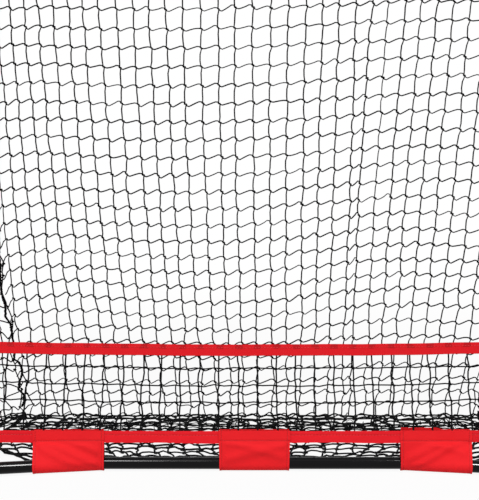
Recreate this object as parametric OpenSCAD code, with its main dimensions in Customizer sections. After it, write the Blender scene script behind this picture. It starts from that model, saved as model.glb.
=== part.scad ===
// Golf chipping net: a bow-shaped frame on a bent tube base, with a net bag that trails behind
// it, a low fence of taut net that keeps the balls in, and fabric sleeves on the base tube.
// Millimetres. X to the right, Y away from the player, Z up from the ground.

/* [Base tubes] */
// Outer diameter of the steel base tubes
tube_d = 16; // [13:0.5:20]
// Wall of the steel base tubes
tube_wall = 1.2; // [0.8:0.1:1.8]
// Height of the tubes above the ground
tube_lift = 2; // [2:0.25:6]
// Length of the centre bar between its two bends
bar_span = 400; // [300:5:480]
// Angle by which each arm turns towards the player
arm_angle = 12; // [10:1:22]
// Centre-line radius of the two bends
bend_r = 60; // [40:5:90]
// Straight stub of the centre bar past each bend
stub_len = 52; // [46:1:70]
// Length of the insert that joins an arm to a stub
insert_len = 76; // [70:1:90]
// Wall of the insert
insert_wall = 1; // [0.8:0.1:1.4]
// Radial clearance of an insert in its tube
insert_gap = 0.05; // [0.02:0.01:0.1]

/* [Snap buttons] */
// Diameter of a snap button
button_d = 5.8; // [4:0.2:7]
// Radial clearance of a button in its hole
button_gap = 0.15; // [0.1:0.05:0.3]
// How far a button stands out of the outer wall
button_proud = 1.4; // [0.8:0.1:2.2]
// Distance from a tube's end to its button
button_inset = 15; // [12:0.5:18]
// Thickness of the leaf spring behind a button
leaf_t = 0.8; // [0.5:0.1:1]
// Width of the leaf spring
leaf_w = 7; // [5:0.5:7.5]
// Length of the leaf spring from the button to its bend
leaf_len = 26; // [20:1:30]

/* [Feet] */
// Outer diameter of the tube socket
socket_d = 24; // [23:0.5:28]
// Depth of the tube socket
socket_depth = 30; // [26:1:40]
// Outer diameter of the pole boss
boss_d = 22; // [18:0.5:26]
// Height of the pole boss above the ground
boss_h = 60; // [50:1:80]
// Thickness of the ground plate
plate_t = 6; // [4:0.5:9]
// Width of the ground plate along X
plate_w = 52; // [44:1:70]
// Length of the ground plate along Y
plate_l = 84; // [70:1:110]
// Diameter of the hole for a ground peg
peg_hole_d = 9; // [6:0.5:12]
// Distance from the pole to the peg hole
peg_hole_y = 28; // [24:0.5:34]

/* [Bow] */
// Half width of the bow at its widest
bow_half_w = 600; // [560:5:660]
// Height of the widest place
bow_wide_h = 250; // [200:5:300]
// Height of the bow's top
bow_top_h = 1180; // [1120:5:1280]
// Radius of the bow's top
bow_top_r = 420; // [380:5:460]
// Backward lean of the bow
bow_lean = 3; // [0:0.5:6]
// Outer diameter of the fibreglass poles
pole_d = 9.5; // [8:0.25:11]
// Bore of the fibreglass poles
pole_bore = 4.5; // [4:0.25:5.5]
// Depth of the bow's ends in the feet
pole_seat = 46; // [36:1:50]
// Outer diameter of the steel tips on the bow's ends
tip_d = 12; // [11.8:0.2:14]
// Length of a ferrule over a pole joint
ferrule_len = 60; // [40:2:90]
// Wall of a ferrule
ferrule_wall = 1.2; // [0.8:0.1:1.6]
// Radial clearance of the poles in ferrules and of the tips in the feet
pole_gap = 0.08; // [0.04:0.02:0.16]
// Diameter of the elastic cord inside the poles
cord_d = 3.4; // [2.5:0.1:3.8]

/* [Fabric] */
// Thickness of the red fabric
cloth_t = 1.2; // [0.8:0.1:1.6]
// Clearance between fabric and what it lies on
cloth_gap = 0.4; // [0.3:0.05:0.6]
// Width of the edge tape inside the bow's sleeve
edge_tape_w = 14; // [8:1:24]
// Height of the fence's lower strip and upper band
tape_w = 16.5; // [12:0.5:24]
// Height of the lower strip's lower edge
strip_low = 39; // [34:1:48]
// Width of a base sleeve
sleeve_w = 93; // [70:1:110]
// Distance between the base sleeves' middles
sleeve_pitch = 240; // [200:5:270]
// Room behind the tube inside a base sleeve
sleeve_room = 3.4; // [3:0.1:6]
// How far a sleeve's back flap stands above the strip
flap_rise = 1; // [0:0.5:10]

/* [Nets] */
// Width of a modelled net strand
strand_w = 2.4; // [1.6:0.2:3.2]
// Thickness of a modelled net strand
strand_t = 2.4; // [1.6:0.2:3.2]
// Distance from the centre bar to the net's back edge
back_reach = 310; // [260:5:400]
// Half width of the net bag at its back edge
back_half_w = 338; // [300:2:400]
// Height over which the hanging net sweeps to the back
sweep_h = 411; // [300:5:500]
// Distance along the bow from its top to where the side nets end
shoulder_run = 467; // [440:5:520]
// Backward lean of the ball fence
fence_lean = 35; // [10:1:45]
// Length of the fence net from the strip to the band
fence_len = 114; // [80:1:150]
// Height of the gathered net along the back
gather_h = 11; // [6:0.5:16]
// Width of the gathered net along the back
gather_w = 90; // [60:2:110]
// Diameter of the gathered seams at the bag's sides
seam_d = 6; // [4:0.5:9]
// Diameter of the knots at the bag's back corners
knot_d = 15; // [10:1:20]
// Gaps across and up the back net
back_cells = [12, 13];
// Gaps across and up a side net
side_cells = [4, 10];
// Gaps across and along the floor net
floor_cells = [10, 4];
// Gaps across and up the ball fence
fence_cells = [16, 2];

/* [Hidden] */
$fn = 48;

eps = 0.01;
tip_grip = 10; // how far the pole reaches into its tip
soft_gap = 0.5; // between net solids and what they lie on
seat_gap = 0.3; // between a knot and the net it sits on

// Base: the centre bar lies on Y = 0 and its bends start the arms.
tube_r = tube_d / 2;
tube_ir = tube_r - tube_wall;
tube_z = tube_lift + tube_r;
bend_x = bar_span / 2;
bend_back = bend_r * tan(arm_angle / 2);
arm_dir = [cos(arm_angle), -sin(arm_angle)];
insert_r = tube_ir - insert_gap;
stub_end = bend_back + stub_len;

// Bow: two side arcs and a top arc that meet on a common tangent.
bow_rise = bow_top_h - bow_wide_h;
bow_side_r = (pow(bow_half_w, 2) + pow(bow_rise, 2) - 2 * bow_rise * bow_top_r)
    / (2 * (bow_half_w - bow_top_r));
side_cx = bow_half_w - bow_side_r;
top_ch = bow_top_h - bow_top_r;
join_a = atan2(bow_rise - bow_top_r, -side_cx);
top_run = bow_top_r * (90 - join_a) * PI / 180;
arc_low_h = boss_h + 6;
low_a = asin((arc_low_h - bow_wide_h) / bow_side_r);
side_run = bow_side_r * (join_a - low_a) * PI / 180;
foot_run = top_run + side_run;
pole_r = pole_d / 2;
foot_x = side_cx + bow_side_r * cos(low_a) + arc_low_h * tan(low_a);
foot_y = -(foot_x - bend_x) * tan(arm_angle);
arm_run = (foot_x - bend_x) / cos(arm_angle);
arm_start = stub_end;
arm_stop = arm_run - boss_d / 2 - 3;
ferrule_r = pole_r + pole_gap + ferrule_wall;
tip_r = tip_d / 2;
bow_sleeve_ir = ferrule_r + cloth_gap;
bow_sleeve_r = bow_sleeve_ir + cloth_t;
tape_reach = bow_sleeve_r + edge_tape_w;
sleeve_low_a = low_a + (tip_grip + 1) / bow_side_r * 180 / PI;

// Whole object, centred on its footprint.
back_y = back_reach;
front_y = foot_y - plate_l / 2;
y_shift = -(back_y + front_y) / 2;

// Fence
strip_y = -tube_r - 1;
strip_top = strip_low + tape_w;
net_half_t = strand_t / 2;
fence_foot_z = strip_top - 5;
fence_foot_y = strip_y + cloth_t + soft_gap + net_half_t + net_half_t * cos(fence_lean);
fence_total = fence_len + tape_w;

// Net bag
floor_z = net_half_t;
bag_z = strand_t + soft_gap + net_half_t;
arc_share = 0.81; // share of a column's height that its rows climb evenly
seam_keep = seam_d / 2 + net_half_t + soft_gap;
side_top_t = 0.9;

function mix(a, b, t) = a + (b - a) * t;
function unit(v) = v / norm(v);

// A point in the bow's upright plane, moved to its leaning place.
function lean(x, h) = [x, foot_y + h * sin(bow_lean), h * cos(bow_lean)];

// A point of the bow at a run from its top (negative on the left), drawn inwards by inset.
function bow_plane(run, inset) =
    let (s = sign(run), d = abs(run), over = max(0, d - top_run),
        top_a = 90 - min(d, top_run) / bow_top_r * 180 / PI,
        side_a = join_a - over / bow_side_r * 180 / PI)
    over > 0
        ? [s * (side_cx + (bow_side_r - inset) * cos(side_a)),
            bow_wide_h + (bow_side_r - inset) * sin(side_a)]
        : [s * (bow_top_r - inset) * cos(top_a), top_ch + (bow_top_r - inset) * sin(top_a)];
function bow_point(run, inset) =
    let (p = bow_plane(run, inset)) lean(p[0], p[1]);

// The bag: column u runs from the back edge (share 0) up to the bow (share 1).
net_inset = tape_reach + soft_gap + strand_w / 2 + 0.2;
function sweep(h, top) =
    (exp(-h / sweep_h) - exp(-top / sweep_h)) / (1 - exp(-top / sweep_h));
function bag(u, share) =
    let (top = bow_point(u * shoulder_run, net_inset), rise = top[2] - bag_z,
        climb = arc_share * share + (1 - arc_share) * share * share,
        h = rise * climb)
    [mix(u * back_half_w, top[0], pow(climb, 1.3)),
        mix(top[1], back_y - strand_w / 2, sweep(h, rise)), bag_z + h];

// Grid points of each net, row by row.
back_u = 1 - seam_keep / back_half_w;
back_grid = [for (i = [0:back_cells[1]]) [for (j = [0:back_cells[0]])
    bag(mix(-back_u, back_u, j / back_cells[0]), i / back_cells[1])]];

side_run_low = foot_run - 12;
function side_front(t) = bow_point(mix(side_run_low, shoulder_run, t), net_inset);
chord_room = 1.5; // the side net's straight cells cut across the seam's curve
function side_back(t) =
    let (p = bag(1, t), q = side_front(t)) p + (seam_keep + chord_room) * unit(q - p);
side_grid = [for (i = [0:side_cells[1]]) let (t = side_top_t * i / side_cells[1])
    [for (j = [0:side_cells[0]]) mix(side_back(t), side_front(t), j / side_cells[0])]];

floor_front_y = tube_r + sleeve_room + cloth_t + 2 * soft_gap + strand_w / 2;
floor_front_half = sleeve_pitch + sleeve_w / 2 - 4;
floor_flare = 0.26; // share of the depth by which the floor net has widened
function floor_half(share) = mix(floor_front_half, back_half_w, min(1, share / floor_flare));
floor_grid = [for (i = [0:floor_cells[1]]) let (s = i / floor_cells[1])
    [for (j = [0:floor_cells[0]])
        [mix(-1, 1, j / floor_cells[0]) * floor_half(s),
            mix(floor_front_y, back_y - strand_w / 2, s), floor_z]]];

// Where the lowest strand of a side net stands at a depth y.
function side_x_at(y, t) =
    let (a = side_front(t), b = side_back(t), w = (y - a[1]) / (b[1] - a[1]))
    mix(a[0], b[0], w);
band_y = fence_foot_y + (fence_len + 5) * sin(fence_lean);
strip_half = side_x_at(strip_y, 0) - 6;
band_half = side_x_at(band_y, 0.12) - 8;
fence_grid = [for (i = [0:fence_cells[1]]) let (s = i / fence_cells[1])
    [for (j = [0:fence_cells[0]])
        [mix(-1, 1, j / fence_cells[0]) * (mix(strip_half, band_half, s) - 1),
            fence_foot_y + s * fence_total * sin(fence_lean),
            fence_foot_z + s * fence_total * cos(fence_lean)]]];

// One closed net solid from a grid: a square knot at each point and flat strands between them.
module net_solid(grid) {
    rows = len(grid);
    cols = len(grid[0]);
    function at(i, j) = grid[max(0, min(rows - 1, i))][max(0, min(cols - 1, j))];
    function du(i, j) = unit(at(i, j + 1) - at(i, j - 1));
    function dv(i, j) = unit(at(i + 1, j) - at(i - 1, j));
    corners = [[-1, -1], [1, -1], [1, 1], [-1, 1]];
    points = [for (i = [0:rows - 1], j = [0:cols - 1]) let (u = du(i, j), v = dv(i, j),
        n = unit(cross(u, v))) for (c = corners, side = [1, -1])
        grid[i][j] + (c[0] * u + c[1] * v) * strand_w / 2 + side * n * strand_t / 2];
    function id(i, j, c, back) = ((i * cols + j) * 4 + c) * 2 + back;
    function quad(a, b, c, d) = [[a, c, b], [a, d, c]];
    function flats(i, j, k, l, c) = concat(
        quad(id(i, j, c[0], 0), id(k, l, c[1], 0), id(k, l, c[2], 0), id(i, j, c[3], 0)),
        quad(id(i, j, c[3], 1), id(k, l, c[2], 1), id(k, l, c[1], 1), id(i, j, c[0], 1)));
    function wall(i, j, c, k, l, d) =
        quad(id(i, j, c, 1), id(k, l, d, 1), id(k, l, d, 0), id(i, j, c, 0));
    faces = [for (i = [0:rows - 1], j = [0:cols - 1]) each concat(
        flats(i, j, i, j, [0, 1, 2, 3]),
        j < cols - 1 ? concat(flats(i, j, i, j + 1, [1, 0, 3, 2]),
            wall(i, j, 1, i, j + 1, 0), wall(i, j + 1, 3, i, j, 2)) : wall(i, j, 1, i, j, 2),
        i < rows - 1 ? concat(flats(i, j, i + 1, j, [2, 1, 0, 3]),
            wall(i + 1, j, 0, i, j, 3), wall(i, j, 2, i + 1, j, 1)) : wall(i, j, 2, i, j, 3),
        j == 0 ? wall(i, j, 3, i, j, 0) : [],
        i == 0 ? wall(i, j, 0, i, j, 1) : [])];
    polyhedron(points, faces);
}

// One closed solid through rings of points, with flat ends.
module lofted(rings) {
    n = len(rings[0]);
    last = len(rings) - 1;
    function id(i, k) = i * n + k % n;
    middle = (last + 1) * n;
    points = concat([for (ring = rings) each ring],
        [for (i = [0, last]) [for (axis = [0:2]) mean([for (p = rings[i]) p[axis]])]]);
    faces = concat(
        [for (i = [0:last - 1], k = [0:n - 1]) each
            [[id(i, k), id(i + 1, k), id(i + 1, k + 1)],
                [id(i, k), id(i + 1, k + 1), id(i, k + 1)]]],
        [for (k = [0:n - 1]) [middle, id(0, k), id(0, k + 1)]],
        [for (k = [0:n - 1]) [middle + 1, id(last, k + 1), id(last, k)]]);
    polyhedron(points, faces);
}
function total(list, i = 0) = i < len(list) ? list[i] + total(list, i + 1) : 0;
function mean(list) = total(list) / len(list);

module mirrored(side) {
    mirror([side < 0 ? 1 : 0, 0, 0]) children();
}

module placed() {
    translate([0, y_shift, 0]) children();
}

// Frame of an arm: X along the arm from the bend, Y to the back, at the tube's height.
module on_arm(side, along) {
    placed() mirrored(side)
        translate([bend_x + along * arm_dir[0], along * arm_dir[1], tube_z])
            rotate([0, 0, -arm_angle]) children();
}

module ring(outer, inner) {
    difference() {
        circle(r = outer);
        circle(r = inner);
    }
}

// A pipe along +X from x0 to x1.
module pipe(x0, x1, outer, inner) {
    translate([x0, 0, 0]) rotate([90, 0, 90]) linear_extrude(x1 - x0) ring(outer, inner);
}

// A radial hole through a tube's back wall.
module back_hole(along, r, reach) {
    translate([along, 0, 0]) rotate([-90, 0, 0]) cylinder(r = r, h = reach);
}

button_hole_r = button_d / 2 + button_gap;

// One bend of the centre bar, swelled a little, and the stub behind it.
bend_swell = 0.05;
bend_lap = 0.5; // how far the straight tubes reach into a bend
bar_straight = bend_x - bend_back;
module bar_bend() {
    translate([0, 0, tube_z]) {
        translate([bar_straight, -bend_r, 0]) rotate([0, 0, 90 - arm_angle])
            rotate_extrude(angle = arm_angle) translate([bend_r, 0])
                ring(tube_r + bend_swell, tube_ir - bend_swell);
        translate([bend_x, 0, 0]) rotate([0, 0, -arm_angle])
            pipe(bend_back - bend_lap, stub_end, tube_r, tube_ir);
    }
}

module base_bar_center() {
    color([0.05, 0.05, 0.06]) difference() {
        placed() {
            translate([0, 0, tube_z])
                pipe(-bar_straight - bend_lap, bar_straight + bend_lap, tube_r, tube_ir);
            for (side = [-1, 1]) mirrored(side) bar_bend();
        }
        for (side = [-1, 1]) on_arm(side, 0)
            back_hole(stub_end - button_inset, button_hole_r, tube_r + 1);
    }
}

rivet_r = 2;
rivet_head_r = 3.4;
rivet_head_t = 1.2;

module arm_tube(side) {
    color([0.05, 0.05, 0.06]) on_arm(side, 0) difference() {
        pipe(arm_start + 0.2, arm_stop, tube_r, tube_ir);
        back_hole(arm_start + button_inset, rivet_r + 0.02, tube_r + 1);
        back_hole(arm_stop - button_inset, button_hole_r, tube_r + 1);
    }
}
module arm_tube_left() { arm_tube(-1); }
module arm_tube_right() { arm_tube(1); }

module tube_insert(side) {
    color([0.6, 0.6, 0.62]) on_arm(side, 0) difference() {
        pipe(stub_end - insert_len / 2, stub_end + insert_len / 2, insert_r,
            insert_r - insert_wall);
        back_hole(stub_end - button_inset, button_hole_r, tube_r);
        back_hole(arm_start + button_inset, rivet_r + 0.02, tube_r);
    }
}
module tube_insert_left() { tube_insert(-1); }
module tube_insert_right() { tube_insert(1); }

module insert_rivets() {
    grip_in = insert_r - insert_wall - 1.2;
    color([0.6, 0.6, 0.62]) for (side = [-1, 1]) on_arm(side, arm_start + button_inset)
        rotate([-90, 0, 0]) {
            translate([0, 0, grip_in]) cylinder(r = rivet_r, h = tube_r + 0.4 - grip_in);
            translate([0, 0, tube_r + 0.1]) cylinder(r = rivet_head_r, h = rivet_head_t);
        }
}

// Snap button along +Z from a tube's axis: a flange inside, a stem and a rounded top.
button_flange_r = 4.2;
button_flange_t = 1;
leaf_tip = 5; // how far the leaf spring reaches past its button
function flange_h(bore) = sqrt(pow(bore - 0.12, 2) - pow(button_flange_r, 2));

module snap_button(bore, top) {
    h = flange_h(bore);
    dome = button_d / 2 * 0.45;
    color([0.75, 0.75, 0.78]) {
        translate([0, 0, h - button_flange_t]) cylinder(r = button_flange_r, h = button_flange_t);
        translate([0, 0, h - eps]) cylinder(d = button_d, h = top - dome - h + eps);
        translate([0, 0, top - dome - eps])
            cylinder(d1 = button_d, d2 = button_d * 0.62, h = dome + eps);
    }
}

// V-shaped leaf spring in the plane of the tube's axis, under the button.
module leaf_spring(bore) {
    top = flange_h(bore) - button_flange_t - 0.05;
    low = -sqrt(pow(bore - 0.1, 2) - pow(leaf_w / 2, 2));
    bend_h = (top + low) / 2;
    color([0.7, 0.7, 0.72]) translate([0, leaf_w / 2, 0]) rotate([90, 0, 0])
        linear_extrude(leaf_w) polygon([[leaf_tip, top], [-leaf_len, bend_h + leaf_t / 2],
            [-leaf_len, bend_h - leaf_t / 2], [leaf_tip, low], [leaf_tip, low + leaf_t],
            [-leaf_len + 2 * leaf_t, bend_h], [leaf_tip, top - leaf_t]]);
}

center_button_top = tube_r + button_proud;
foot_button_top = socket_d / 2 + button_proud;

module center_button_place(side) {
    on_arm(side, stub_end - button_inset) rotate([-90, 0, 0]) children();
}
module foot_button_place(side) {
    on_arm(side, arm_stop - button_inset) rotate([-90, 0, 0]) children();
}
module button_center_left() { center_button_place(-1) snap_button(insert_r - insert_wall,
    center_button_top); }
module button_center_right() { center_button_place(1) snap_button(insert_r - insert_wall,
    center_button_top); }
module button_foot_left() { foot_button_place(-1) snap_button(tube_ir, foot_button_top); }
module button_foot_right() { foot_button_place(1) snap_button(tube_ir, foot_button_top); }
module button_spring_center_left() { center_button_place(-1)
    leaf_spring(insert_r - insert_wall); }
module button_spring_center_right() { center_button_place(1)
    leaf_spring(insert_r - insert_wall); }
module button_spring_foot_left() { foot_button_place(-1) leaf_spring(tube_ir); }
module button_spring_foot_right() { foot_button_place(1) leaf_spring(tube_ir); }

// Frame of a pole's lower end: Z up along the bow's end tangent, from the ground at the foot.
module at_pole_end(side) {
    placed() mirrored(side) translate([0, foot_y, 0]) rotate([-bow_lean, 0, 0])
        translate([foot_x, 0, 0]) rotate([0, -low_a, 0]) mirror([1, 0, 0]) children();
}

module foot(side) {
    socket_tip = arm_run - (arm_stop - socket_depth);
    color([0.06, 0.06, 0.07]) difference() {
        union() {
            placed() mirrored(side) translate([foot_x, foot_y, 0]) {
                linear_extrude(plate_t) hull() for (x = [-1, 1], y = [-1, 1])
                    translate([x * (plate_w / 2 - 12), y * (plate_l / 2 - 12)]) circle(r = 12);
                translate([0, 0, plate_t / 2]) {
                    translate([-3, -plate_l / 2 + 22, 0]) cube([6, 20, boss_h / 2 - plate_t]);
                    translate([-3, boss_d / 2 - 3, 0]) cube([6, 16, boss_h / 2]);
                }
            }
            on_arm(side, arm_run) pipe(-socket_tip, 0, socket_d / 2, 0.001);
            at_pole_end(side) cylinder(d = boss_d, h = boss_h / cos(low_a));
        }
        placed() mirrored(side) {
            translate([foot_x, foot_y, -socket_d]) linear_extrude(socket_d)
                square(4 * plate_l, center = true);
            translate([foot_x, foot_y - peg_hole_y, -1]) cylinder(d = peg_hole_d,
                h = plate_t + 20);
        }
        on_arm(side, arm_run) {
            translate([-socket_tip - 1, 0, 0]) rotate([0, 90, 0])
                cylinder(r = tube_r + 0.1, h = socket_tip + 1 - (arm_run - arm_stop) + 0.3);
        }
        on_arm(side, 0) back_hole(arm_stop - button_inset, button_hole_r, socket_d);
        at_pole_end(side) translate([0, 0, pole_low])
            cylinder(r = tip_r + pole_gap, h = boss_h);
    }
}
module foot_left() { foot(-1); }
module foot_right() { foot(1); }

// Height along the end tangent at which the poles end inside the feet.
pole_low = (boss_h - pole_seat) / cos(low_a);

// A stretch of the bow between two angles of its side arc, or of its top arc.
module bow_side_arc(side, a0, a1) {
    placed() mirrored(side) translate([0, foot_y, 0]) rotate([-bow_lean, 0, 0])
        translate([side_cx, 0, bow_wide_h]) rotate([90, 0, 0]) rotate([0, 0, a0])
            rotate_extrude(angle = a1 - a0) translate([bow_side_r, 0]) children();
}
module bow_top_arc(a0, a1) {
    placed() translate([0, foot_y, 0]) rotate([-bow_lean, 0, 0])
        translate([0, 0, top_ch]) rotate([90, 0, 0]) rotate([0, 0, a0])
            rotate_extrude(angle = a1 - a0) translate([bow_top_r, 0]) children();
}
module bow_end(side, z0, z1) {
    at_pole_end(side) translate([0, 0, z0]) linear_extrude(z1 - z0) children();
}

mid_a = (low_a + join_a) / 2;
arc_start = arc_low_h / cos(low_a);
joint_gap_deg = 0.01; // half the gap between two pole ends, as an angle

module pole_profile() { ring(pole_r, pole_bore / 2); }
module pole_lower(side) {
    color([0.08, 0.08, 0.09])
        bow_side_arc(side, low_a, mid_a - joint_gap_deg) pole_profile();
}
module pole_upper(side) {
    color([0.08, 0.08, 0.09])
        bow_side_arc(side, mid_a + joint_gap_deg, join_a - joint_gap_deg) pole_profile();
}
module pole_left_lower() { pole_lower(-1); }
module pole_right_lower() { pole_lower(1); }
module pole_left_upper() { pole_upper(-1); }
module pole_right_upper() { pole_upper(1); }
module pole_left_top() {
    color([0.08, 0.08, 0.09]) bow_top_arc(90.02, 180 - join_a - 0.02) pole_profile();
}
module pole_right_top() {
    color([0.08, 0.08, 0.09]) bow_top_arc(join_a + 0.02, 89.98) pole_profile();
}

// Steel tip: seats in the foot and holds the pole's lower end over a recess for the plug.
plug_t = 3;
module pole_tip(side) {
    color([0.72, 0.72, 0.74]) difference() {
        bow_end(side, pole_low + 0.3, arc_start + tip_grip) circle(d = tip_d);
        bow_end(side, arc_start - plug_t - 0.4, arc_start + tip_grip + 1)
            circle(r = pole_r + pole_gap + 0.06);
    }
}
module pole_tip_left() { pole_tip(-1); }
module pole_tip_right() { pole_tip(1); }

module ferrule_profile() { ring(ferrule_r, pole_r + pole_gap); }

module pole_ferrules() {
    side_half = ferrule_len / 2 / bow_side_r * 180 / PI;
    top_half = ferrule_len / 2 / bow_top_r * 180 / PI;
    color([0.72, 0.72, 0.74]) {
        for (side = [-1, 1]) {
            bow_side_arc(side, mid_a - side_half, mid_a + side_half) ferrule_profile();
            bow_side_arc(side, join_a - side_half, join_a - crimp_gap) ferrule_profile();
            placed() mirrored(side) translate([0, foot_y, 0]) rotate([-bow_lean, 0, 0]) {
                translate([0, 0, top_ch]) rotate([90, 0, 0]) rotate([0, 0, join_a + crimp_gap])
                    rotate_extrude(angle = top_half) translate([bow_top_r, 0])
                        ferrule_profile();
                translate([side_cx + bow_side_r * cos(join_a), 0,
                    bow_wide_h + bow_side_r * sin(join_a)]) rotate([0, -join_a, 0])
                    translate([0, 0, -crimp_w / 2]) linear_extrude(crimp_w)
                        ring(ferrule_r + 0.2, pole_r + pole_gap + 0.06);
            }
        }
        bow_top_arc(90 - top_half, 90 + top_half) ferrule_profile();
    }
}
crimp_w = 5; // width of the crimped collar where the bow changes its radius
crimp_gap = 0.05; // angle by which each ferrule stops short inside the collar

module shock_cord() {
    color([0.15, 0.15, 0.16]) {
        for (side = [-1, 1]) {
            bow_side_arc(side, low_a, join_a) circle(d = cord_d);
            placed() mirrored(side) translate([0, foot_y, 0]) rotate([-bow_lean, 0, 0])
                translate([side_cx + bow_side_r * cos(join_a), 0,
                    bow_wide_h + bow_side_r * sin(join_a)]) sphere(d = cord_d + 0.2);
        }
        bow_top_arc(join_a, 180 - join_a) circle(d = cord_d);
    }
}

// Plugs that stop the cord's ends under the lowest poles.
module shock_cord_plugs() {
    color([0.5, 0.5, 0.52]) for (side = [-1, 1])
        bow_end(side, arc_start - plug_t - 0.2, arc_start - 0.2) circle(r = pole_r - 0.5);
}

// Fabric sleeve round the poles, with its edge tape turned inwards to the net.
module sleeve_profile() {
    ring(bow_sleeve_r, bow_sleeve_ir);
    translate([-tape_reach, -cloth_t / 2]) square([edge_tape_w + cloth_t / 2, cloth_t]);
}
module bow_sleeve(side) {
    color([0.86, 0.12, 0.14]) {
        bow_side_arc(side, sleeve_low_a, join_a) sleeve_profile();
    }
}
module bow_sleeve_left() { bow_sleeve(-1); }
module bow_sleeve_right() { bow_sleeve(1); }
module bow_sleeve_top() {
    color([0.86, 0.12, 0.14])
        bow_top_arc(join_a + 0.06, 180 - join_a - 0.06) sleeve_profile();
}

module back_net() { color([0.1, 0.1, 0.1]) placed() net_solid(back_grid); }
module side_net(side) { color([0.1, 0.1, 0.1]) placed() mirrored(side) net_solid(side_grid); }
module side_net_left() { side_net(-1); }
module side_net_right() { side_net(1); }
module floor_net() { color([0.1, 0.1, 0.1]) placed() net_solid(floor_grid); }
module fence_net() { color([0.1, 0.1, 0.1]) placed() net_solid(fence_grid); }

module fence_strip() {
    color([0.89, 0.15, 0.18]) placed() translate([-strip_half, strip_y, strip_low])
        cube([2 * strip_half, cloth_t, tape_w]);
}

module fence_band() {
    color([0.86, 0.12, 0.14]) placed() translate([0, fence_foot_y, fence_foot_z])
        rotate([-fence_lean, 0, 0])
            translate([-band_half, -net_half_t - cloth_gap - cloth_t, fence_len])
                cube([2 * band_half, cloth_t, tape_w]);
}

// Base sleeve: fabric that hangs from the strip, wraps the tube and comes up behind it.
wrap_steps = 8;
wrap_stations = 6;
flap_gap = soft_gap + net_half_t;
function tube_y(x) = -max(0, abs(x) - bend_x) * tan(arm_angle);
wrap_r = tube_r / cos(arm_angle) + 0.6 + cloth_t; // cloth's outer face over the tube
lip_steps = 3;
// Path of the cloth's outer (grow = 0) or inner (grow = cloth_t) face at x: straight from the
// strip to the tube, round it from the angle lip at which it touches, and up behind it.
function wrap_path(x, grow) =
    let (y = tube_y(x), r = wrap_r - grow, front = y - r,
        back = y + tube_r + sleeve_room + cloth_t - grow,
        top_front = strip_y - cloth_gap - cloth_t + grow,
        hang = [top_front - y, strip_low - 1 - tube_z],
        lip = min(179, atan2(hang[1], hang[0]) + acos(r / norm(hang))),
        flap_z = strip_top + flap_rise,
        flap_y = fence_foot_y + (flap_z - fence_foot_z) * tan(fence_lean)
            + flap_gap / cos(fence_lean) + cloth_t - grow,
        mid = (front + back) / 2, half = (back - front) / 2, drop = tube_z - grow)
    concat([[x, top_front, strip_top + 0.6], [x, top_front, strip_low - 1]],
        [for (k = [0:lip_steps - 1]) let (a = mix(lip, 180, k / lip_steps))
            [x, y + r * cos(a), tube_z + r * sin(a)]],
        [for (k = [0:wrap_steps]) let (a = 180 + 180 * k / wrap_steps)
            [x, mid + half * cos(a), tube_z + drop * sin(a)]],
        [[x, flap_y, flap_z]]);

module base_sleeve(x0, x1) {
    stations = [for (k = [0:wrap_stations]) mix(x0, x1, k / wrap_stations)];
    rings = [for (x = stations) let (outer = wrap_path(x, 0), inner = wrap_path(x, cloth_t),
        n = len(outer)) concat(outer, [for (k = [n - 1:-1:0]) inner[k]])];
    n = len(rings[0]) / 2;
    last = len(rings) - 1;
    function id(i, k) = i * 2 * n + k % (2 * n);
    sides = [for (i = [0:last - 1], k = [0:2 * n - 1]) each k < n
        ? [[id(i, k), id(i + 1, k), id(i + 1, k + 1)], [id(i, k), id(i + 1, k + 1), id(i, k + 1)]]
        : [[id(i, k), id(i + 1, k), id(i, k + 1)], [id(i + 1, k), id(i + 1, k + 1), id(i, k + 1)]]];
    ends = [for (k = [0:n - 2]) each [
        [id(0, k), id(0, k + 1), id(0, 2 * n - 2 - k)],
        [id(0, k), id(0, 2 * n - 2 - k), id(0, 2 * n - 1 - k)],
        [id(last, k + 1), id(last, k), id(last, 2 * n - 2 - k)],
        [id(last, k), id(last, 2 * n - 1 - k), id(last, 2 * n - 2 - k)]]];
    color([0.89, 0.15, 0.18]) placed()
        polyhedron([for (ring = rings) each ring], concat(sides, ends));
}
module base_sleeve_left() {
    base_sleeve(-sleeve_pitch - sleeve_w / 2, -sleeve_pitch + sleeve_w / 2);
}
module base_sleeve_center() { base_sleeve(-sleeve_w / 2, sleeve_w / 2); }
module base_sleeve_right() {
    base_sleeve(sleeve_pitch - sleeve_w / 2, sleeve_pitch + sleeve_w / 2);
}

// Gathered seam between the back net and a side net, an uneven cord.
seam_rings = 18;
module seam_cord(side) {
    rings = [for (i = [0:seam_rings]) let (t = mix(0.03, 0.97, i / seam_rings),
        p = bag(1, t), up = unit(bag(1, t + 0.01) - bag(1, t - 0.01)),
        a = unit(cross(up, [0, 1, 0])), b = cross(up, a),
        r = seam_d / 2 * (1 - 0.12 * (1 + sin(i * 77)) - 0.4 * t))
        [for (k = [0:5]) p + r * (cos(60 * k) * a + sin(60 * k) * b)]];
    color([0.08, 0.08, 0.08]) placed() mirrored(side) lofted(rings);
}
module seam_cord_left() { seam_cord(-1); }
module seam_cord_right() { seam_cord(1); }

// Bunched knot at a back corner of the bag, beside the foot of the seam.
module corner_knot(side) {
    r = knot_d / 2;
    color([0.08, 0.08, 0.08]) placed() mirrored(side)
        translate([back_half_w - strand_w / 2, back_y - 3.4 * r, strand_t + seat_gap + r]) {
            sphere(r = r);
            translate([0, -r, -r * 0.3]) sphere(r = r * 0.7);
        }
}
module corner_knot_left() { corner_knot(-1); }
module corner_knot_right() { corner_knot(1); }

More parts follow.
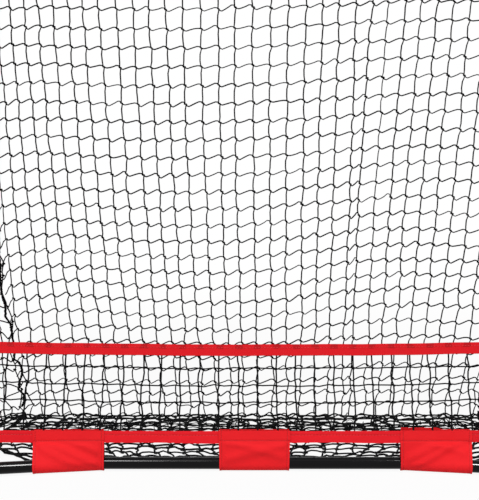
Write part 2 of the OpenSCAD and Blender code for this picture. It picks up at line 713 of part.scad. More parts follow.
// Surplus net that lies gathered along the bag's back edge, a low uneven roll.
gather_rings = 36;
module gathered_net() {
    half = back_half_w - seam_keep - 1.8 * knot_d;
    rings = [for (i = [0:gather_rings]) let (x = mix(-half, half, i / gather_rings),
        swell = 0.86 + 0.14 * sin(i * 73), wide = 0.84 + 0.16 * sin(i * 49 + 30),
        h = gather_h * swell, w = gather_w / 2 * wide, base = strand_t + soft_gap)
        [for (k = [0:7]) let (a = 45 * k + 22.5)
            [x, back_y - 30 - gather_w / 2 + w * cos(a) * 1.05,
                base + h * (sin(a) / sin(67.5) + 1) / 2]]];
    color([0.08, 0.08, 0.08]) placed() lofted(rings);
}

base_bar_center();
arm_tube_left();
arm_tube_right();
tube_insert_left();
tube_insert_right();
insert_rivets();
foot_left();
foot_right();
button_center_left();
button_center_right();
button_foot_left();
button_foot_right();
button_spring_center_left();
button_spring_center_right();
button_spring_foot_left();
button_spring_foot_right();
pole_left_lower();
pole_left_upper();
pole_left_top();
pole_right_top();
pole_right_upper();
pole_right_lower();
pole_tip_left();
pole_tip_right();
pole_ferrules();
shock_cord();
shock_cord_plugs();
bow_sleeve_left();
bow_sleeve_top();
bow_sleeve_right();
back_net();
side_net_left();
side_net_right();
floor_net();
fence_net();
fence_band();
fence_strip();
base_sleeve_left();
base_sleeve_center();
base_sleeve_right();
seam_cord_left();
seam_cord_right();
corner_knot_left();
corner_knot_right();
gathered_net();
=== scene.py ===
# %% [markdown]
# # A golf chipping net
#
# The real object is a bow of fibreglass poles that stands on a bent steel tube. A black knotted
# net hangs from the bow and trails behind it to a back edge on the ground, a low fence of taut
# net keeps the balls in, and red cloth loops hold everything to the tube.
#
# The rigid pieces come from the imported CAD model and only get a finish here. Everything soft is
# modelled again: every strand of net is a real cord with real knots, and every red piece is a
# sheet of cloth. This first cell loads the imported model.

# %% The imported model
import bisect
import math
import random

import bpy
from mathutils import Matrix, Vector


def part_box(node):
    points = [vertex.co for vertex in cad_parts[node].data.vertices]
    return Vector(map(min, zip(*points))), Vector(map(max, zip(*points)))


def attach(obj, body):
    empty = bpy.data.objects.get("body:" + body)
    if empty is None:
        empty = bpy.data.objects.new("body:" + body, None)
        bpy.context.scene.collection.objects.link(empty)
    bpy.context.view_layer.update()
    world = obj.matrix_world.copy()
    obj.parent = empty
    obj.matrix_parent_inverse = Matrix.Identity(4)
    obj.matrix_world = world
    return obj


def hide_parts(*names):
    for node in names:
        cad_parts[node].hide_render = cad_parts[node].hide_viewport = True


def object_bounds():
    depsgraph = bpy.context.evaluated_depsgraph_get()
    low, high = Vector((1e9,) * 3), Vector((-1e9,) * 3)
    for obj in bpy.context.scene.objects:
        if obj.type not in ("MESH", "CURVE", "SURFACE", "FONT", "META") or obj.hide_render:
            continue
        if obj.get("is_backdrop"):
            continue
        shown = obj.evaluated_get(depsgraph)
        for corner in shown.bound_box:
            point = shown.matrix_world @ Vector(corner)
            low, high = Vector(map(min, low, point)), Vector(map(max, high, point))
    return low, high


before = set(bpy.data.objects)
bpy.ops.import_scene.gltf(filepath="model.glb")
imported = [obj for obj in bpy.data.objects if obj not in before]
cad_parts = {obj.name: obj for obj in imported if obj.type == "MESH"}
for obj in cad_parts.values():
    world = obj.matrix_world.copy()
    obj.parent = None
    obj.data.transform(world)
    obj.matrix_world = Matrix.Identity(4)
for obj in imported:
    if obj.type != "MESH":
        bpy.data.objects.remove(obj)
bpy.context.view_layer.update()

BODY = "net_frame"
MM = 0.001
SIDES = {-1: "left", 1: "right"}

# %% [markdown]
# ## The camera
#
# A long lens far in front, a little above the net, looks slightly down. A short lens near by could
# show as much of the net, but it would make whatever comes forwards look too large.

# %% Camera
LENS_PX = 1763.0  # focal length in pixels, for a frame that is FRAME_W_PX wide
FRAME_W_PX = 479.0
SENSOR = 36.0
CAMERA_AT = (-0.0177, -2.344, 0.580)
LOOK_DOWN = 7.33  # degrees


def deselect():
    bpy.ops.object.select_all(action="DESELECT")


deselect()
bpy.ops.object.camera_add(location=CAMERA_AT, rotation=(math.radians(90 - LOOK_DOWN), 0, 0))
camera = bpy.context.object
camera.data.sensor_width = SENSOR
camera.data.sensor_fit = "HORIZONTAL"
camera.data.lens = SENSOR * LENS_PX / FRAME_W_PX
bpy.context.scene.camera = camera
bpy.context.scene.view_settings.view_transform = "Standard"
print("lens", round(camera.data.lens, 1), "mm")

# %% [markdown]
# ## Maths for the shaders
#
# A finish is a tree of nodes. It could be wired node by node, but that takes many lines and hides
# what is worked out. So a small class wraps a socket: a pattern is then written as a sum or a
# product, and the Math nodes are added behind it.


# %% Sockets in sums
class Wire:
    """A socket that can be added, multiplied and so on, each time with a Math node."""

    def __init__(self, tree, socket):
        self.tree, self.socket = tree, socket

    def maths(self, operation, *others):
        return node(self.tree, "ShaderNodeMath", {"operation": operation}, self, *others)

    def __add__(self, other):
        return self.maths("ADD", other)

    def __sub__(self, other):
        return self.maths("SUBTRACT", other)

    def __rsub__(self, other):
        return (self * -1.0).maths("ADD", other)

    def __mul__(self, other):
        return self.maths("MULTIPLY", other)

    def __gt__(self, other):
        return self.maths("GREATER_THAN", other)

    __radd__, __rmul__ = __add__, __mul__


def node(tree, kind, settings, *inputs, out=0, **named):
    """Adds a node, sets it and feeds its sockets; returns one of its outputs as a Wire."""
    made = tree.nodes.new(kind)
    for key, value in settings.items():
        setattr(made, key, value)
    for key, value in (*enumerate(inputs), *((k.replace("_", " "), v) for k, v in named.items())):
        if isinstance(value, Wire):
            tree.links.new(value.socket, made.inputs[key])
        elif value is not None:
            made.inputs[key].default_value = value
    return Wire(tree, made.outputs[out])


def mixed(tree, factor, first, second):
    """A colour between two colours."""
    made = tree.nodes.new("ShaderNodeMix")
    made.data_type = "RGBA"
    for index, value in ((0, factor), (6, first), (7, second)):
        if isinstance(value, Wire):
            tree.links.new(value.socket, made.inputs[index])
        else:
            made.inputs[index].default_value = value
    return Wire(tree, made.outputs[2])


# %% Helpers for a finish
def finish_of(name, **constants):
    """A new material with its Principled shader; the constants are set on its sockets."""
    material = bpy.data.materials.new(name)
    material.use_nodes = True
    tree = material.node_tree
    shader = tree.nodes["Principled BSDF"]
    for key, value in constants.items():
        shader.inputs[key.replace("_", " ")].default_value = value
    return material, tree, shader


def feed(tree, wire, shader, socket):
    """Links what was worked out to a socket of the shader."""
    tree.links.new(wire.socket, shader.inputs[socket])


def bump(tree, shader, height, strength, distance):
    """Shades the surface as if it had this small height."""
    feed(tree, node(tree, "ShaderNodeBump", {}, Strength=strength, Distance=distance,
                    Height=height), shader, "Normal")


def place_of(tree, scale=(1, 1, 1), uv=False):
    """Coordinates in metres on the object, or on its own UV map, stretched by scale."""
    source = node(tree, "ShaderNodeTexCoord", {}, out=2 if uv else 3)
    return node(tree, "ShaderNodeMapping", {}, Vector=source, Scale=scale)


def noise(tree, where, scale, detail=3.0, roughness=0.55):
    return node(tree, "ShaderNodeTexNoise", {}, Vector=where, Scale=scale, Detail=detail,
                Roughness=roughness)


# %% [markdown]
# ## The studio
#
# The studio is a pale floor and a white background that only the camera and reflections see, so
# it doesn't flood the object with light. Close to the net the floor keeps its shadow, and further
# off it melts into the background. One wide lamp would be simpler, but a glossy tube mirrors what
# lights it, and a wide lamp becomes a broad blurred band on it. So a row of tall soft boxes stands
# high behind the camera: they light the cloth from the front and draw crisp lines on the tube. On
# the left the row grows weaker towards the middle, so the line on the tube fades out there. A
# large box hangs above.


# %% Background and floor
def seen_directly(tree):
    """1 for what the camera, reflections and clear materials see, 0 for light that bounces."""
    path = tree.nodes.new("ShaderNodeLightPath")
    rays = [Wire(tree, path.outputs[n]) for n in
            ("Is Camera Ray", "Is Glossy Ray", "Is Transmission Ray")]
    return node(tree, "ShaderNodeClamp", {}, rays[0] + rays[1] + rays[2])


WHITE = (1, 1, 1, 1)
AMBIENT = 0.25  # share of the background's light that reaches the part
world = bpy.data.worlds.new("studio")
world.use_nodes = True
bpy.context.scene.world = world
wtree = world.node_tree
strength = seen_directly(wtree) * (1 - AMBIENT) + AMBIENT
background = wtree.nodes["Background"]
background.inputs["Color"].default_value = WHITE
wtree.links.new(strength.socket, background.inputs["Strength"])

FLOOR_SIZE, FLOOR_Z = 60, -0.0006  # a hair lower than the part, so the two don't flicker
NEAR_GLOW, FADE_FROM, FADE_BY = 0.93, 0.7, 0.9  # the floor keeps a soft shadow near the net
deselect()
bpy.ops.mesh.primitive_plane_add(size=FLOOR_SIZE, location=(0, 0, FLOOR_Z))
floor = bpy.context.object
floor.name = "studio_floor"
material, tree, shader = finish_of("pale floor", Base_Color=(0.7, 0.7, 0.7, 1), Roughness=0.9)
shader.inputs["Specular IOR Level"].default_value = 0.0
glow = tree.nodes.new("ShaderNodeEmission")
blend = tree.nodes.new("ShaderNodeMixShader")
output = tree.nodes["Material Output"]
away = node(tree, "ShaderNodeVectorMath", {"operation": "LENGTH"}, place_of(tree), out=1)
fade = node(tree, "ShaderNodeClamp", {}, (away - FADE_FROM) * (1 / FADE_BY))
glowing = seen_directly(tree) * (fade * (1 - NEAR_GLOW) + NEAR_GLOW)
tree.links.new(glowing.socket, blend.inputs[0])
tree.links.new(shader.outputs[0], blend.inputs[1])
tree.links.new(glow.outputs[0], blend.inputs[2])
tree.links.new(blend.outputs[0], output.inputs[0])
floor.data.materials.append(material)
floor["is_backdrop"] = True
print("floor", FLOOR_SIZE, "m wide")


# %% Lamps
def soft_box(name, place, aim, width, height, watts):
    """A rectangular lamp at a place, turned to face another."""
    deselect()
    bpy.ops.object.light_add(type="AREA", location=place)
    lamp = bpy.context.object
    lamp.name = name
    lamp.data.shape = "RECTANGLE"
    lamp.data.size, lamp.data.size_y, lamp.data.energy = width, height, watts
    lamp.rotation_euler = (Vector(aim) - Vector(place)).to_track_quat("-Z", "Y").to_euler()


TUBE_SPOT = (0, -0.1, 0.02)
ROW_Y, ROW_Z = -3.78, 4.6
BOX_ROW = (  # the middle in x, the width, the height and the power of each box
    (0.95, 0.17, 1.7, 100), (-0.93, 0.18, 1.7, 132), (-0.68, 0.20, 1.2, 56),
    (-0.49, 0.18, 0.9, 24), (-0.28, 0.24, 0.8, 7),
)
for index, (x, width, height, watts) in enumerate(BOX_ROW):
    soft_box(f"box {index}", (x, ROW_Y, ROW_Z), TUBE_SPOT, width, height, watts)
soft_box("top box", (0, -0.9, 3.2), (0, 0.1, 0.3), 2.4, 1.4, 7)
print(len(BOX_ROW), "boxes in the row and one above")

# %% [markdown]
# ## Finishes
#
# Each finish is a Principled shader with small procedural patterns. Ready-made textures would do
# as well, but they repeat, and each would be a file to load. The black tube is stoved enamel,
# glossy with a faint orange peel. The fittings are plated steel, and the feet and poles are dark
# plastic and fibreglass with fine pores and a few scuffs.


# %% Makers of hard finishes
def enamel():
    m, t, s = finish_of("black enamel", Base_Color=(0.0015, 0.0015, 0.002, 1), Roughness=0.1)
    s.inputs["Specular IOR Level"].default_value = 0.12
    peel = noise(t, place_of(t), 900.0, 2.0)
    dust = noise(t, place_of(t), 35.0, 5.0, 0.7)
    feed(t, dust * 0.06 + 0.03, s, "Roughness")
    bump(t, s, peel, 0.02, 0.0003)
    return m


def plated(name, tone, along, rough):
    m, t, s = finish_of(name, Metallic=1.0, Base_Color=(*tone, 1), Roughness=rough)
    grain = noise(t, place_of(t, along), 700.0, 4.0, 0.7)
    clouds = noise(t, place_of(t), 60.0, 4.0)
    feed(t, mixed(t, clouds, (*tone, 1), (*(c * 0.8 for c in tone), 1)), s, "Base Color")
    feed(t, grain * 0.22 + (rough - 0.1), s, "Roughness")
    bump(t, s, grain, 0.12, 0.0002)
    return m


def moulded(name, tone, rough, pores):
    m, t, s = finish_of(name, Base_Color=(*tone, 1), Roughness=rough)
    skin = noise(t, place_of(t), pores, 3.0, 0.6)
    scuff = noise(t, place_of(t), 28.0, 6.0, 0.7)
    feed(t, mixed(t, scuff, (*tone, 1), (*(c * 1.7 + 0.004 for c in tone), 1)), s, "Base Color")
    feed(t, scuff * 0.2 + (rough - 0.1), s, "Roughness")
    bump(t, s, skin, 0.2, 0.0003)
    return m


# %% What each rigid piece wears
ENAMEL = enamel()
ZINC = plated("zinc plate", (0.55, 0.56, 0.58), (1, 8, 8), 0.34)
CHROME = plated("button plate", (0.74, 0.74, 0.76), (1, 1, 1), 0.2)
DRAWN = plated("drawn steel", (0.60, 0.60, 0.61), (6, 6, 1), 0.3)
MOULDED = moulded("foot plastic", (0.014, 0.014, 0.015), 0.48, 1500.0)
FIBRE = moulded("fibreglass", (0.010, 0.010, 0.012), 0.24, 500.0)
RUBBER = moulded("elastic", (0.016, 0.016, 0.018), 0.7, 2400.0)
PLUG = moulded("plug plastic", (0.16, 0.16, 0.17), 0.5, 1500.0)

WEARS = {
    "base_bar": ENAMEL, "arm_tube": ENAMEL, "tube_insert": ZINC, "insert_rivets": ZINC,
    "foot": MOULDED, "button_spring": DRAWN, "button": CHROME, "pole_tip": DRAWN,
    "pole_ferrules": DRAWN, "pole": FIBRE, "shock_cord_plugs": PLUG, "shock_cord": RUBBER,
}
for name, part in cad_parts.items():
    finish = next((m for key, m in WEARS.items() if name.startswith(key)), None)
    if finish:
        part.data.materials.clear()
        part.data.materials.append(finish)
print("rigid finishes on", sum(any(n.startswith(k) for k in WEARS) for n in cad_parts))

# %% [markdown]
# ## Finishes of the soft pieces
#
# The red cloth is a plain weave drawn along its own UV map, so the threads follow the sheet round
# every fold. Object coordinates would need no map, but the threads would then run straight
# through the folds. Along each seam the colour is darkened in a thin line, which is painted shade
# for the seam's groove. The net is matt twine, and the stitches are a thread with a little more
# shine.

# %% Woven cloth
MESH = 25.4  # between two knots of the net, in millimetres, as are the sizes below
LOOP_W = 93.0  # width of a loop round the base tube
HEM = 3.4  # from a loop's side to its row of stitches
LOOP_SEAM = 13.5  # from a loop's top edge to its crosswise seam
TAPE_SEAM = 11.2  # from a tape's lower edge to its seam
SEWN_HALF = 0.6  # half the width of the groove along a seam
# how dark the painted shade in a seam's groove is
SEWN_PAINTED_SHADE = 0.38
THREAD_PITCH = 1.1  # between two threads of the cloth
TIES_ABOVE = 9.5  # the net's ties show through the band above this line


def woven(name, tone, shade, sheen=0.04, sewn=(), tied=0.0):
    """Plain weave: threads in both directions of the UV map, which is in metres.

    sewn: (axis, place in mm) of each seam, along which painted shade darkens the colour; tied: how
    dark the net's ties show through."""
    m, t, s = finish_of(name, Roughness=0.72, Sheen_Weight=sheen, Sheen_Roughness=0.4)
    s.inputs["Specular IOR Level"].default_value = 0.12
    flat = place_of(t, uv=True)
    parts = t.nodes.new("ShaderNodeSeparateXYZ")
    t.links.new(flat.socket, parts.inputs[0])
    across, along = Wire(t, parts.outputs[0]), Wire(t, parts.outputs[1])
    turns = math.tau / (THREAD_PITCH * MM)
    weave = (across * turns).maths("SINE") * (along * turns).maths("SINE")
    soft = noise(t, flat, 26.0, 4.0, 0.6)
    fine = noise(t, flat, 900.0, 2.0)
    colour = mixed(t, soft * 0.75 + fine * 0.25, (*tone, 1), (*shade, 1))
    groove = None
    for axis, place in sewn:
        off = ((along if axis else across) - place * MM).maths("ABSOLUTE")
        line = off.maths("LESS_THAN", SEWN_HALF * MM)
        groove = line if groove is None else groove.maths("MAXIMUM", line)
    # painted shade: along each seam the colour darkens, standing for the shade in its groove
    if groove is not None:
        colour = mixed(t, groove * SEWN_PAINTED_SHADE, colour, (*(c * 0.5 for c in shade), 1))
    if tied:
        beat = (across * (math.pi / (MESH * MM))).maths("SINE")
        blots = noise(t, flat, 140.0, 3.0)
        mask = (beat * beat * blots > 0.36) * (along > TIES_ABOVE * MM)
        colour = mixed(t, mask * tied, colour, (*(c * 0.5 for c in shade), 1))
    feed(t, colour, s, "Base Color")
    feed(t, 0.82 - soft * 0.16, s, "Roughness")
    height = weave * 0.5 + soft * 1.2
    bump(t, s, height - groove * 1.5 if groove is not None else height, 0.35, 0.0003)
    return m


CLOTH = woven("red cloth", (0.80, 0.018, 0.024), (0.70, 0.011, 0.016))
LOOP_CLOTH = woven("red loop cloth", (0.80, 0.016, 0.021), (0.68, 0.009, 0.014),
                   sewn=((0, HEM), (0, LOOP_W - HEM), (1, LOOP_SEAM)))
TAPE = woven("red tape", (0.78, 0.014, 0.023), (0.67, 0.008, 0.015), sewn=((1, TAPE_SEAM),))
# The upper tape is the same red tape as the lower one; its darker red is painted shade.
BAND = woven("red band", (0.60, 0.006, 0.012), (0.52, 0.004, 0.008), sheen=0.02,
             sewn=((1, TAPE_SEAM),), tied=0.55)
print("cloth finishes made, with a thread every", THREAD_PITCH, "mm")


# %% Twine and thread
def twine():
    m, t, s = finish_of("black twine", Roughness=0.62)
    s.inputs["Specular IOR Level"].default_value = 0.05
    lay = noise(t, place_of(t, (1, 1, 2)), 900.0, 3.0, 0.7)
    worn = noise(t, place_of(t), 12.0, 3.0)
    feed(t, mixed(t, worn, (0.0012, 0.0012, 0.0015, 1), (0.0045, 0.0045, 0.0052, 1)), s,
         "Base Color")
    feed(t, lay * 0.2 + 0.55, s, "Roughness")
    bump(t, s, lay, 0.3, 0.0003)
    return m


def sewing_thread():
    m, t, s = finish_of("red thread", Roughness=0.5)
    wave = noise(t, place_of(t), 1500.0, 1.0)
    feed(t, mixed(t, wave, (0.54, 0.009, 0.013, 1), (0.68, 0.013, 0.018, 1)), s, "Base Color")
    return m


TWINE = twine()
STITCH = sewing_thread()
print("twine and thread finishes made")

# %% [markdown]
# ## The lines that the soft pieces follow
#
# The bow is two long side arcs and a shorter top arc in a plane that leans back a little. The
# net bag hangs from it: near the bow it falls almost straight, and lower down it sweeps back to
# its edge on the ground. Both could be drawn by hand as curves. Functions are used instead,
# because they give a point anywhere, in millimetres, so nets, seams and covers meet exactly.

# %% Measures of the bow and the bag
BAR_Y = -94.02  # the base tube's centre line
BOW_Y = -173.98  # where the bow's plane meets the ground
BACK_Y = 214.78  # back edge of the bag
BACK_HALF = 338.0  # half the length of that edge
BAG_Z = 4.1  # height of that edge
LEAN = math.radians(3)  # of the bow, backwards
BOW_HALF_W, BOW_WIDE_H, BOW_TOP_H, BOW_TOP_R = 600.0, 250.0, 1180.0, 420.0
BOW_RISE = BOW_TOP_H - BOW_WIDE_H
SIDE_R = ((BOW_HALF_W**2 + BOW_RISE**2 - 2 * BOW_RISE * BOW_TOP_R)
          / (2 * (BOW_HALF_W - BOW_TOP_R)))
SIDE_CX = BOW_HALF_W - SIDE_R
JOIN = math.atan2(BOW_RISE - BOW_TOP_R, -SIDE_CX)
TOP_RUN = BOW_TOP_R * (math.pi / 2 - JOIN)
FOOT_RUN = 1395.8  # along the bow from its top to a foot
SHOULDER = 467.0  # along the bow from its top to a seam
NET_INSET = 23.5  # from the poles to the edge of the net
TIE_INSET = 17  # from the poles to where a strand ends inside the cover
SWEEP = 411.0  # the height over which the bag's sweep fades
NARROWING = 1.3  # how late the bag takes on the bow's width as it climbs
DRIFT, DRIFT_H = -13, 1100  # the slack net hangs off to the left, most at half this height
print("bow side radius", round(SIDE_R), "mm, top arc to", round(math.degrees(JOIN), 1), "degrees")


# %% Points on the bow and the bag
def mix(a, b, t):
    return a + (b - a) * t


def smooth(t):
    """0 below 0, 1 above 1, and a soft step between."""
    t = max(0.0, min(1.0, t))
    return t * t * (3 - 2 * t)


def bell(off, width):
    """1 in the middle of a soft ridge or groove, and less away from it."""
    return math.exp(-((off / width) ** 2))


def bow_point(run, inset):
    """A point at a run along the bow from its top, negative on the left, drawn inwards."""
    side, over = math.copysign(1, run), max(0.0, abs(run) - TOP_RUN)
    if over > 0:
        a = JOIN - over / SIDE_R
        x, h = SIDE_CX + (SIDE_R - inset) * math.cos(a), BOW_WIDE_H + (SIDE_R - inset) * math.sin(a)
    else:
        a = math.pi / 2 - abs(run) / BOW_TOP_R
        x = (BOW_TOP_R - inset) * math.cos(a)
        h = BOW_TOP_H - BOW_TOP_R + (BOW_TOP_R - inset) * math.sin(a)
    return Vector((side * x, BOW_Y + h * math.sin(LEAN), h * math.cos(LEAN)))


def bag_point(u, climb):
    """A point of the hanging net: u from -1 to 1 across, climb from 0 at the back edge to 1."""
    top = bow_point(u * SHOULDER, NET_INSET)
    rise = top.z - BAG_Z
    h = rise * climb
    last = math.exp(-rise / SWEEP)
    share = (math.exp(-h / SWEEP) - last) / (1 - last)
    drift = DRIFT * math.sin(math.pi * min(1, h / DRIFT_H)) * (1 - abs(u) ** 4)
    return Vector((mix(u * BACK_HALF, top.x, climb**NARROWING) + drift,
                   mix(top.y, BACK_Y, share), BAG_Z + h))


# %% A line by its own length
class Run:
    """A line measured by its own length, so that cells can be laid along it evenly."""

    def __init__(self, line, count=220):
        self.points = [line(i / count) for i in range(count + 1)]
        self.reach = [0.0]
        for a, b in zip(self.points, self.points[1:]):
            self.reach.append(self.reach[-1] + (b - a).length)
        self.length = self.reach[-1]

    def at(self, s):
        s = max(0.0, min(self.length, s))
        k = max(1, bisect.bisect_left(self.reach, s))
        span = self.reach[k] - self.reach[k - 1]
        return self.points[k - 1].lerp(self.points[k], (s - self.reach[k - 1]) / max(span, 1e-9))


# %% [markdown]
# ## Cords and knots
#
# A net is cord and knots and nothing else, so that is what is made. A sheet with holes painted
# on would be lighter, but its strands couldn't sag one by one, and it would vanish when seen from
# its edge. Each strand is one curve with a thickness, and a curve turns into a light tube of a
# few sides. Every crossing of the real net is a small hard knot. One knot is modelled from a low
# sphere, and its copies go on all the crossings. The square holes between the knots are called
# the meshes of the net, and one mesh is also the distance from knot to knot.

# %% Cords
FLOOR_GAP = 0.1  # between the floor and what lies on it


def new_piece(name, data):
    """A new object with this curve or mesh, and only it is selected."""
    made = bpy.data.objects.new(name, data)
    bpy.context.collection.objects.link(made)
    deselect()
    made.select_set(True)
    bpy.context.view_layer.objects.active = made
    return made


def cords(name, paths, radius, material, sides=0):
    """Tubes along paths given in millimetres, as one mesh that stays above the floor."""
    data = bpy.data.curves.new(name, "CURVE")
    data.dimensions = "3D"
    data.bevel_depth, data.bevel_resolution, data.use_fill_caps = radius * MM, sides, True
    floor_z = radius + FLOOR_GAP
    for path in paths:
        spline = data.splines.new("POLY")
        spline.points.add(len(path) - 1)
        spline.points.foreach_set("co", [v for p in path for v in (
            p.x * MM, p.y * MM, max(p.z, floor_z) * MM, 1.0)])
    new_piece(name, data)
    bpy.ops.object.convert(target="MESH")
    made = bpy.context.object
    made.name = name
    made.data.materials.clear()
    made.data.materials.append(material)
    bpy.ops.object.shade_smooth()
    return made


# %% Knots
KNOT_TILT, TILT_SPREAD = 28.0, 12
deselect()
bpy.ops.mesh.primitive_uv_sphere_add(segments=6, ring_count=3, radius=1.0)
knot_form = bpy.context.object
knot_points = [v.co.copy() for v in knot_form.data.vertices]
knot_faces = [tuple(f.vertices) for f in knot_form.data.polygons]
bpy.data.objects.remove(knot_form)
print("a knot has", len(knot_faces), "faces")


def knots(name, places, size, chance, tilt):
    """Copies of one low lump of size (length, width), tilted as a tight knot is, in degrees."""
    length, width = size
    points, faces = [], []
    for place in places:
        a = math.radians(chance.gauss(-tilt, TILT_SPREAD))
        long_way = Vector((math.cos(a), 0, math.sin(a))) * (length / 2 * chance.uniform(0.85, 1.15))
        thin_way = Vector((-math.sin(a), 0, math.cos(a))) * (width / 2 * chance.uniform(0.9, 1.1))
        deep = width / 2
        first = len(points)
        reach = math.hypot(long_way.z, thin_way.z)
        place = Vector((place.x, place.y, max(place.z, reach + FLOOR_GAP)))
        points += [(place + long_way * p.z + thin_way * p.x + Vector((0, deep * p.y, 0))) * MM
                   for p in knot_points]
        faces += [tuple(first + i for i in f) for f in knot_faces]
    mesh = bpy.data.meshes.new(name)
    mesh.from_pydata(points, [], faces)
    mesh.materials.append(TWINE)
    made = new_piece(name, mesh)
    bpy.ops.object.mode_set(mode="EDIT")
    bpy.ops.mesh.select_all(action="SELECT")
    bpy.ops.mesh.normals_make_consistent(inside=False)
    bpy.ops.object.mode_set(mode="OBJECT")
    bpy.ops.object.shade_smooth()
    return made


# %% Joining pieces and setting them on the frame
def joined(name, *parts):
    """All the parts as one mesh."""
    deselect()
    for part in parts:
        part.select_set(True)
    bpy.context.view_layer.objects.active = parts[0]
    bpy.ops.object.join()
    made = bpy.context.object
    made.name = made.data.name = name
    return made


def settled(piece, finish_slot, *nodes):
    """The piece rides on the frame and stands for CAD nodes, which it hides. finish_slot is not
    used.
    """
    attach(piece, BODY)
    if nodes:
        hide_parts(*nodes)
    print(piece.name, sum(len(f.vertices) - 2 for f in piece.data.polygons), "triangles")
    return piece


def knotted(name, cad_node, paths, radius, places, size, chance, tilt=KNOT_TILT):
    """A piece of net: cords along its paths and a knot at each of its places."""
    strands = cords(name, paths, radius, TWINE)
    lumps = knots(f"{name}_knots", places, size, chance, tilt)
    return settled(joined(name, strands, lumps), "net_cord", cad_node)


def surface_of(piece):
    return sum(f.area for f in piece.data.polygons)


def path_length(path):
    return sum((b - a).length for a, b in zip(path, path[1:]))


def declare_net(piece, wefts, warps, cover=0.3):
    """A net is mostly holes: its own cords cover only a share of the size it was cut to."""
    width = max(path_length(p) for p in wefts) * MM
    length = max(path_length(p) for p in warps) * MM
    share = surface_of(piece) / (cover * width * length)
    print(piece.name, "flat", round(width, 3), "x", round(length, 3), "share", round(share, 2))


# %% [markdown]
# ## The hanging net
#
# The strands that hang down are pulled nearly straight by their own weight, and the strands
# across are slack: each one dips just behind a knot and humps just before the next. The rows
# also rise and fall across the net, because the bag is held at its seams. Knots are laid along
# each hanging strand one mesh apart, measured on the strand itself, so the rows close up where
# the net sweeps back, as they do on the real one. A cloth simulation could find such a shape too,
# but it is slow and hard to steer. Here every habit of the strands is a number with a name.

# %% Columns of the hanging net
STRAND_R = 0.92
KNOT = (5.3, 3.3)  # its length and width
COLUMNS = 33
EDGE_U = 0.966  # the outer columns stay this far inside the seams
NARROW = 23.5  # the middle of the pair of columns that is drawn together low down
PINCH, PINCH_REACH = 0.011, 3  # how far they are drawn, and over how many columns it fades
chance = random.Random(11)
UP = Vector((0, 0, 1))


def column_places():
    """Across the net from -1 to 1, in slightly uneven steps."""
    widths = [1.0 + chance.uniform(-0.05, 0.05) for _ in range(COLUMNS)]
    total, place, places = sum(widths), 0.0, [-1.0]
    for w in widths:
        place += w
        places.append(-1 + 2 * place / total)
    return places


def nudge(j, climb):
    """Draws the columns beside the narrow pair together below half height."""
    off = j - NARROW
    return -math.copysign(PINCH, off) * math.exp(-(abs(off) - 0.5) / PINCH_REACH) * (
        1 - smooth((climb - 0.3) / 0.3)) * (0 < j < COLUMNS)


columns_u = [u * EDGE_U for u in column_places()]
columns = [Run(lambda t, j=j, u=u: bag_point(u + nudge(j, t), t))
           for j, u in enumerate(columns_u)]
ROWS = int(max(c.length for c in columns) / MESH)
print(COLUMNS, "columns and", ROWS, "rows")

# %% Rise and fall of the rows
LIFT_U = (-1, -0.85, -0.7, -0.5, -0.3, -0.1, 0.1, 0.3, 0.5, 0.65, 0.8, 1)
LIFTS = (  # height on the strand, then how far the row stands above its even place at each LIFT_U
    (0, (0, 0, 0, 0, 0, 0, 0, 0, 0, 0, 0, 0)),
    (224, (13, 19, 21, 10, 4, 0, 6, 16, 25, 30, 30, 27)),
    (320, (14, 17, 16, 7, 2, 0, 5, 13, 23, 26, 25, 23)),
    (432, (13, 14, 12, 4, 1, 0, 3, 9, 17, 22, 24, 23)),
    (572, (8, 10, 8, 2, -1, -1, 1, 6, 12, 17, 18, 17)),
    (1100, (0, 0, 0, 0, 0, 0, 0, 0, 0, 0, 0, 0)),
)


def between(places, values, at):
    """The value at a place, on straight lines between the given values."""
    k = max(1, min(len(places) - 1, bisect.bisect_left(places, at)))
    share = (at - places[k - 1]) / (places[k] - places[k - 1])
    return mix(values[k - 1], values[k], max(0.0, min(1.0, share)))


def row_lift(u, s):
    """How far a row stands above its even place, in millimetres along the strand."""
    return between([level for level, _ in LIFTS], [between(LIFT_U, row, u) for _, row in LIFTS], s)


def row_place(u, r):
    """Where row r lies on the strand at u, in millimetres from the strand's foot."""
    return r * MESH + row_lift(u, r * MESH)


# %% Knots of the hanging net
SLACK_BELOW = 300  # the knots lie less evenly below this height on the strand
SHAKES = (0.6, 1.7)  # how far they lie off their places, high up and low down


def shaken(chance, size):
    return Vector((chance.gauss(0, size), chance.gauss(0, size), chance.gauss(0, size)))


grid = {}
for j, column in enumerate(columns):
    for r in range(ROWS + 1):
        s = row_place(columns_u[j], r)
        if s < column.length - 4:
            low = 1 - smooth(r * MESH / SLACK_BELOW)
            grid[j, r] = column.at(s) + shaken(chance, mix(*SHAKES, low))
            grid[j, r].z = max(grid[j, r].z, STRAND_R + 0.3)
print(len(grid), "knots in the hanging net")

# %% How a slack strand hangs
WAVE = (0.0, 0.09, 0.2, 0.36, 0.58, 0.76, 0.89)  # where a slack strand gets its points
DIPS, HUMPS = (2.3, 2.8), (2.0, 2.6)  # of the strands across, high up and low down
WAVE_SPREAD = 0.6
NARROW_HUMP = 1.2  # how much higher the humps between the narrow pair are
BOWED, BOW_SPREAD = -0.8, 0.55  # the hanging strands bow to the left


def dip(t, low, high):
    """Height of a slack strand between two knots: a dip just behind the first knot, then a slow
    rise to a hump just before the next."""
    turn = math.tau * (t + 0.077 * math.sin(math.tau * t))
    return -(low if t < 0.5 else high) * math.sin(turn)


# %% Ends of the rows
SEAM_DROP = 15.0  # how much lower a row meets the seam
selvedge = {  # each seam, under the way that leads inwards from it
    1: Run(lambda t: bag_point(-1, t)),
    -1: Run(lambda t: bag_point(1, t)),
}


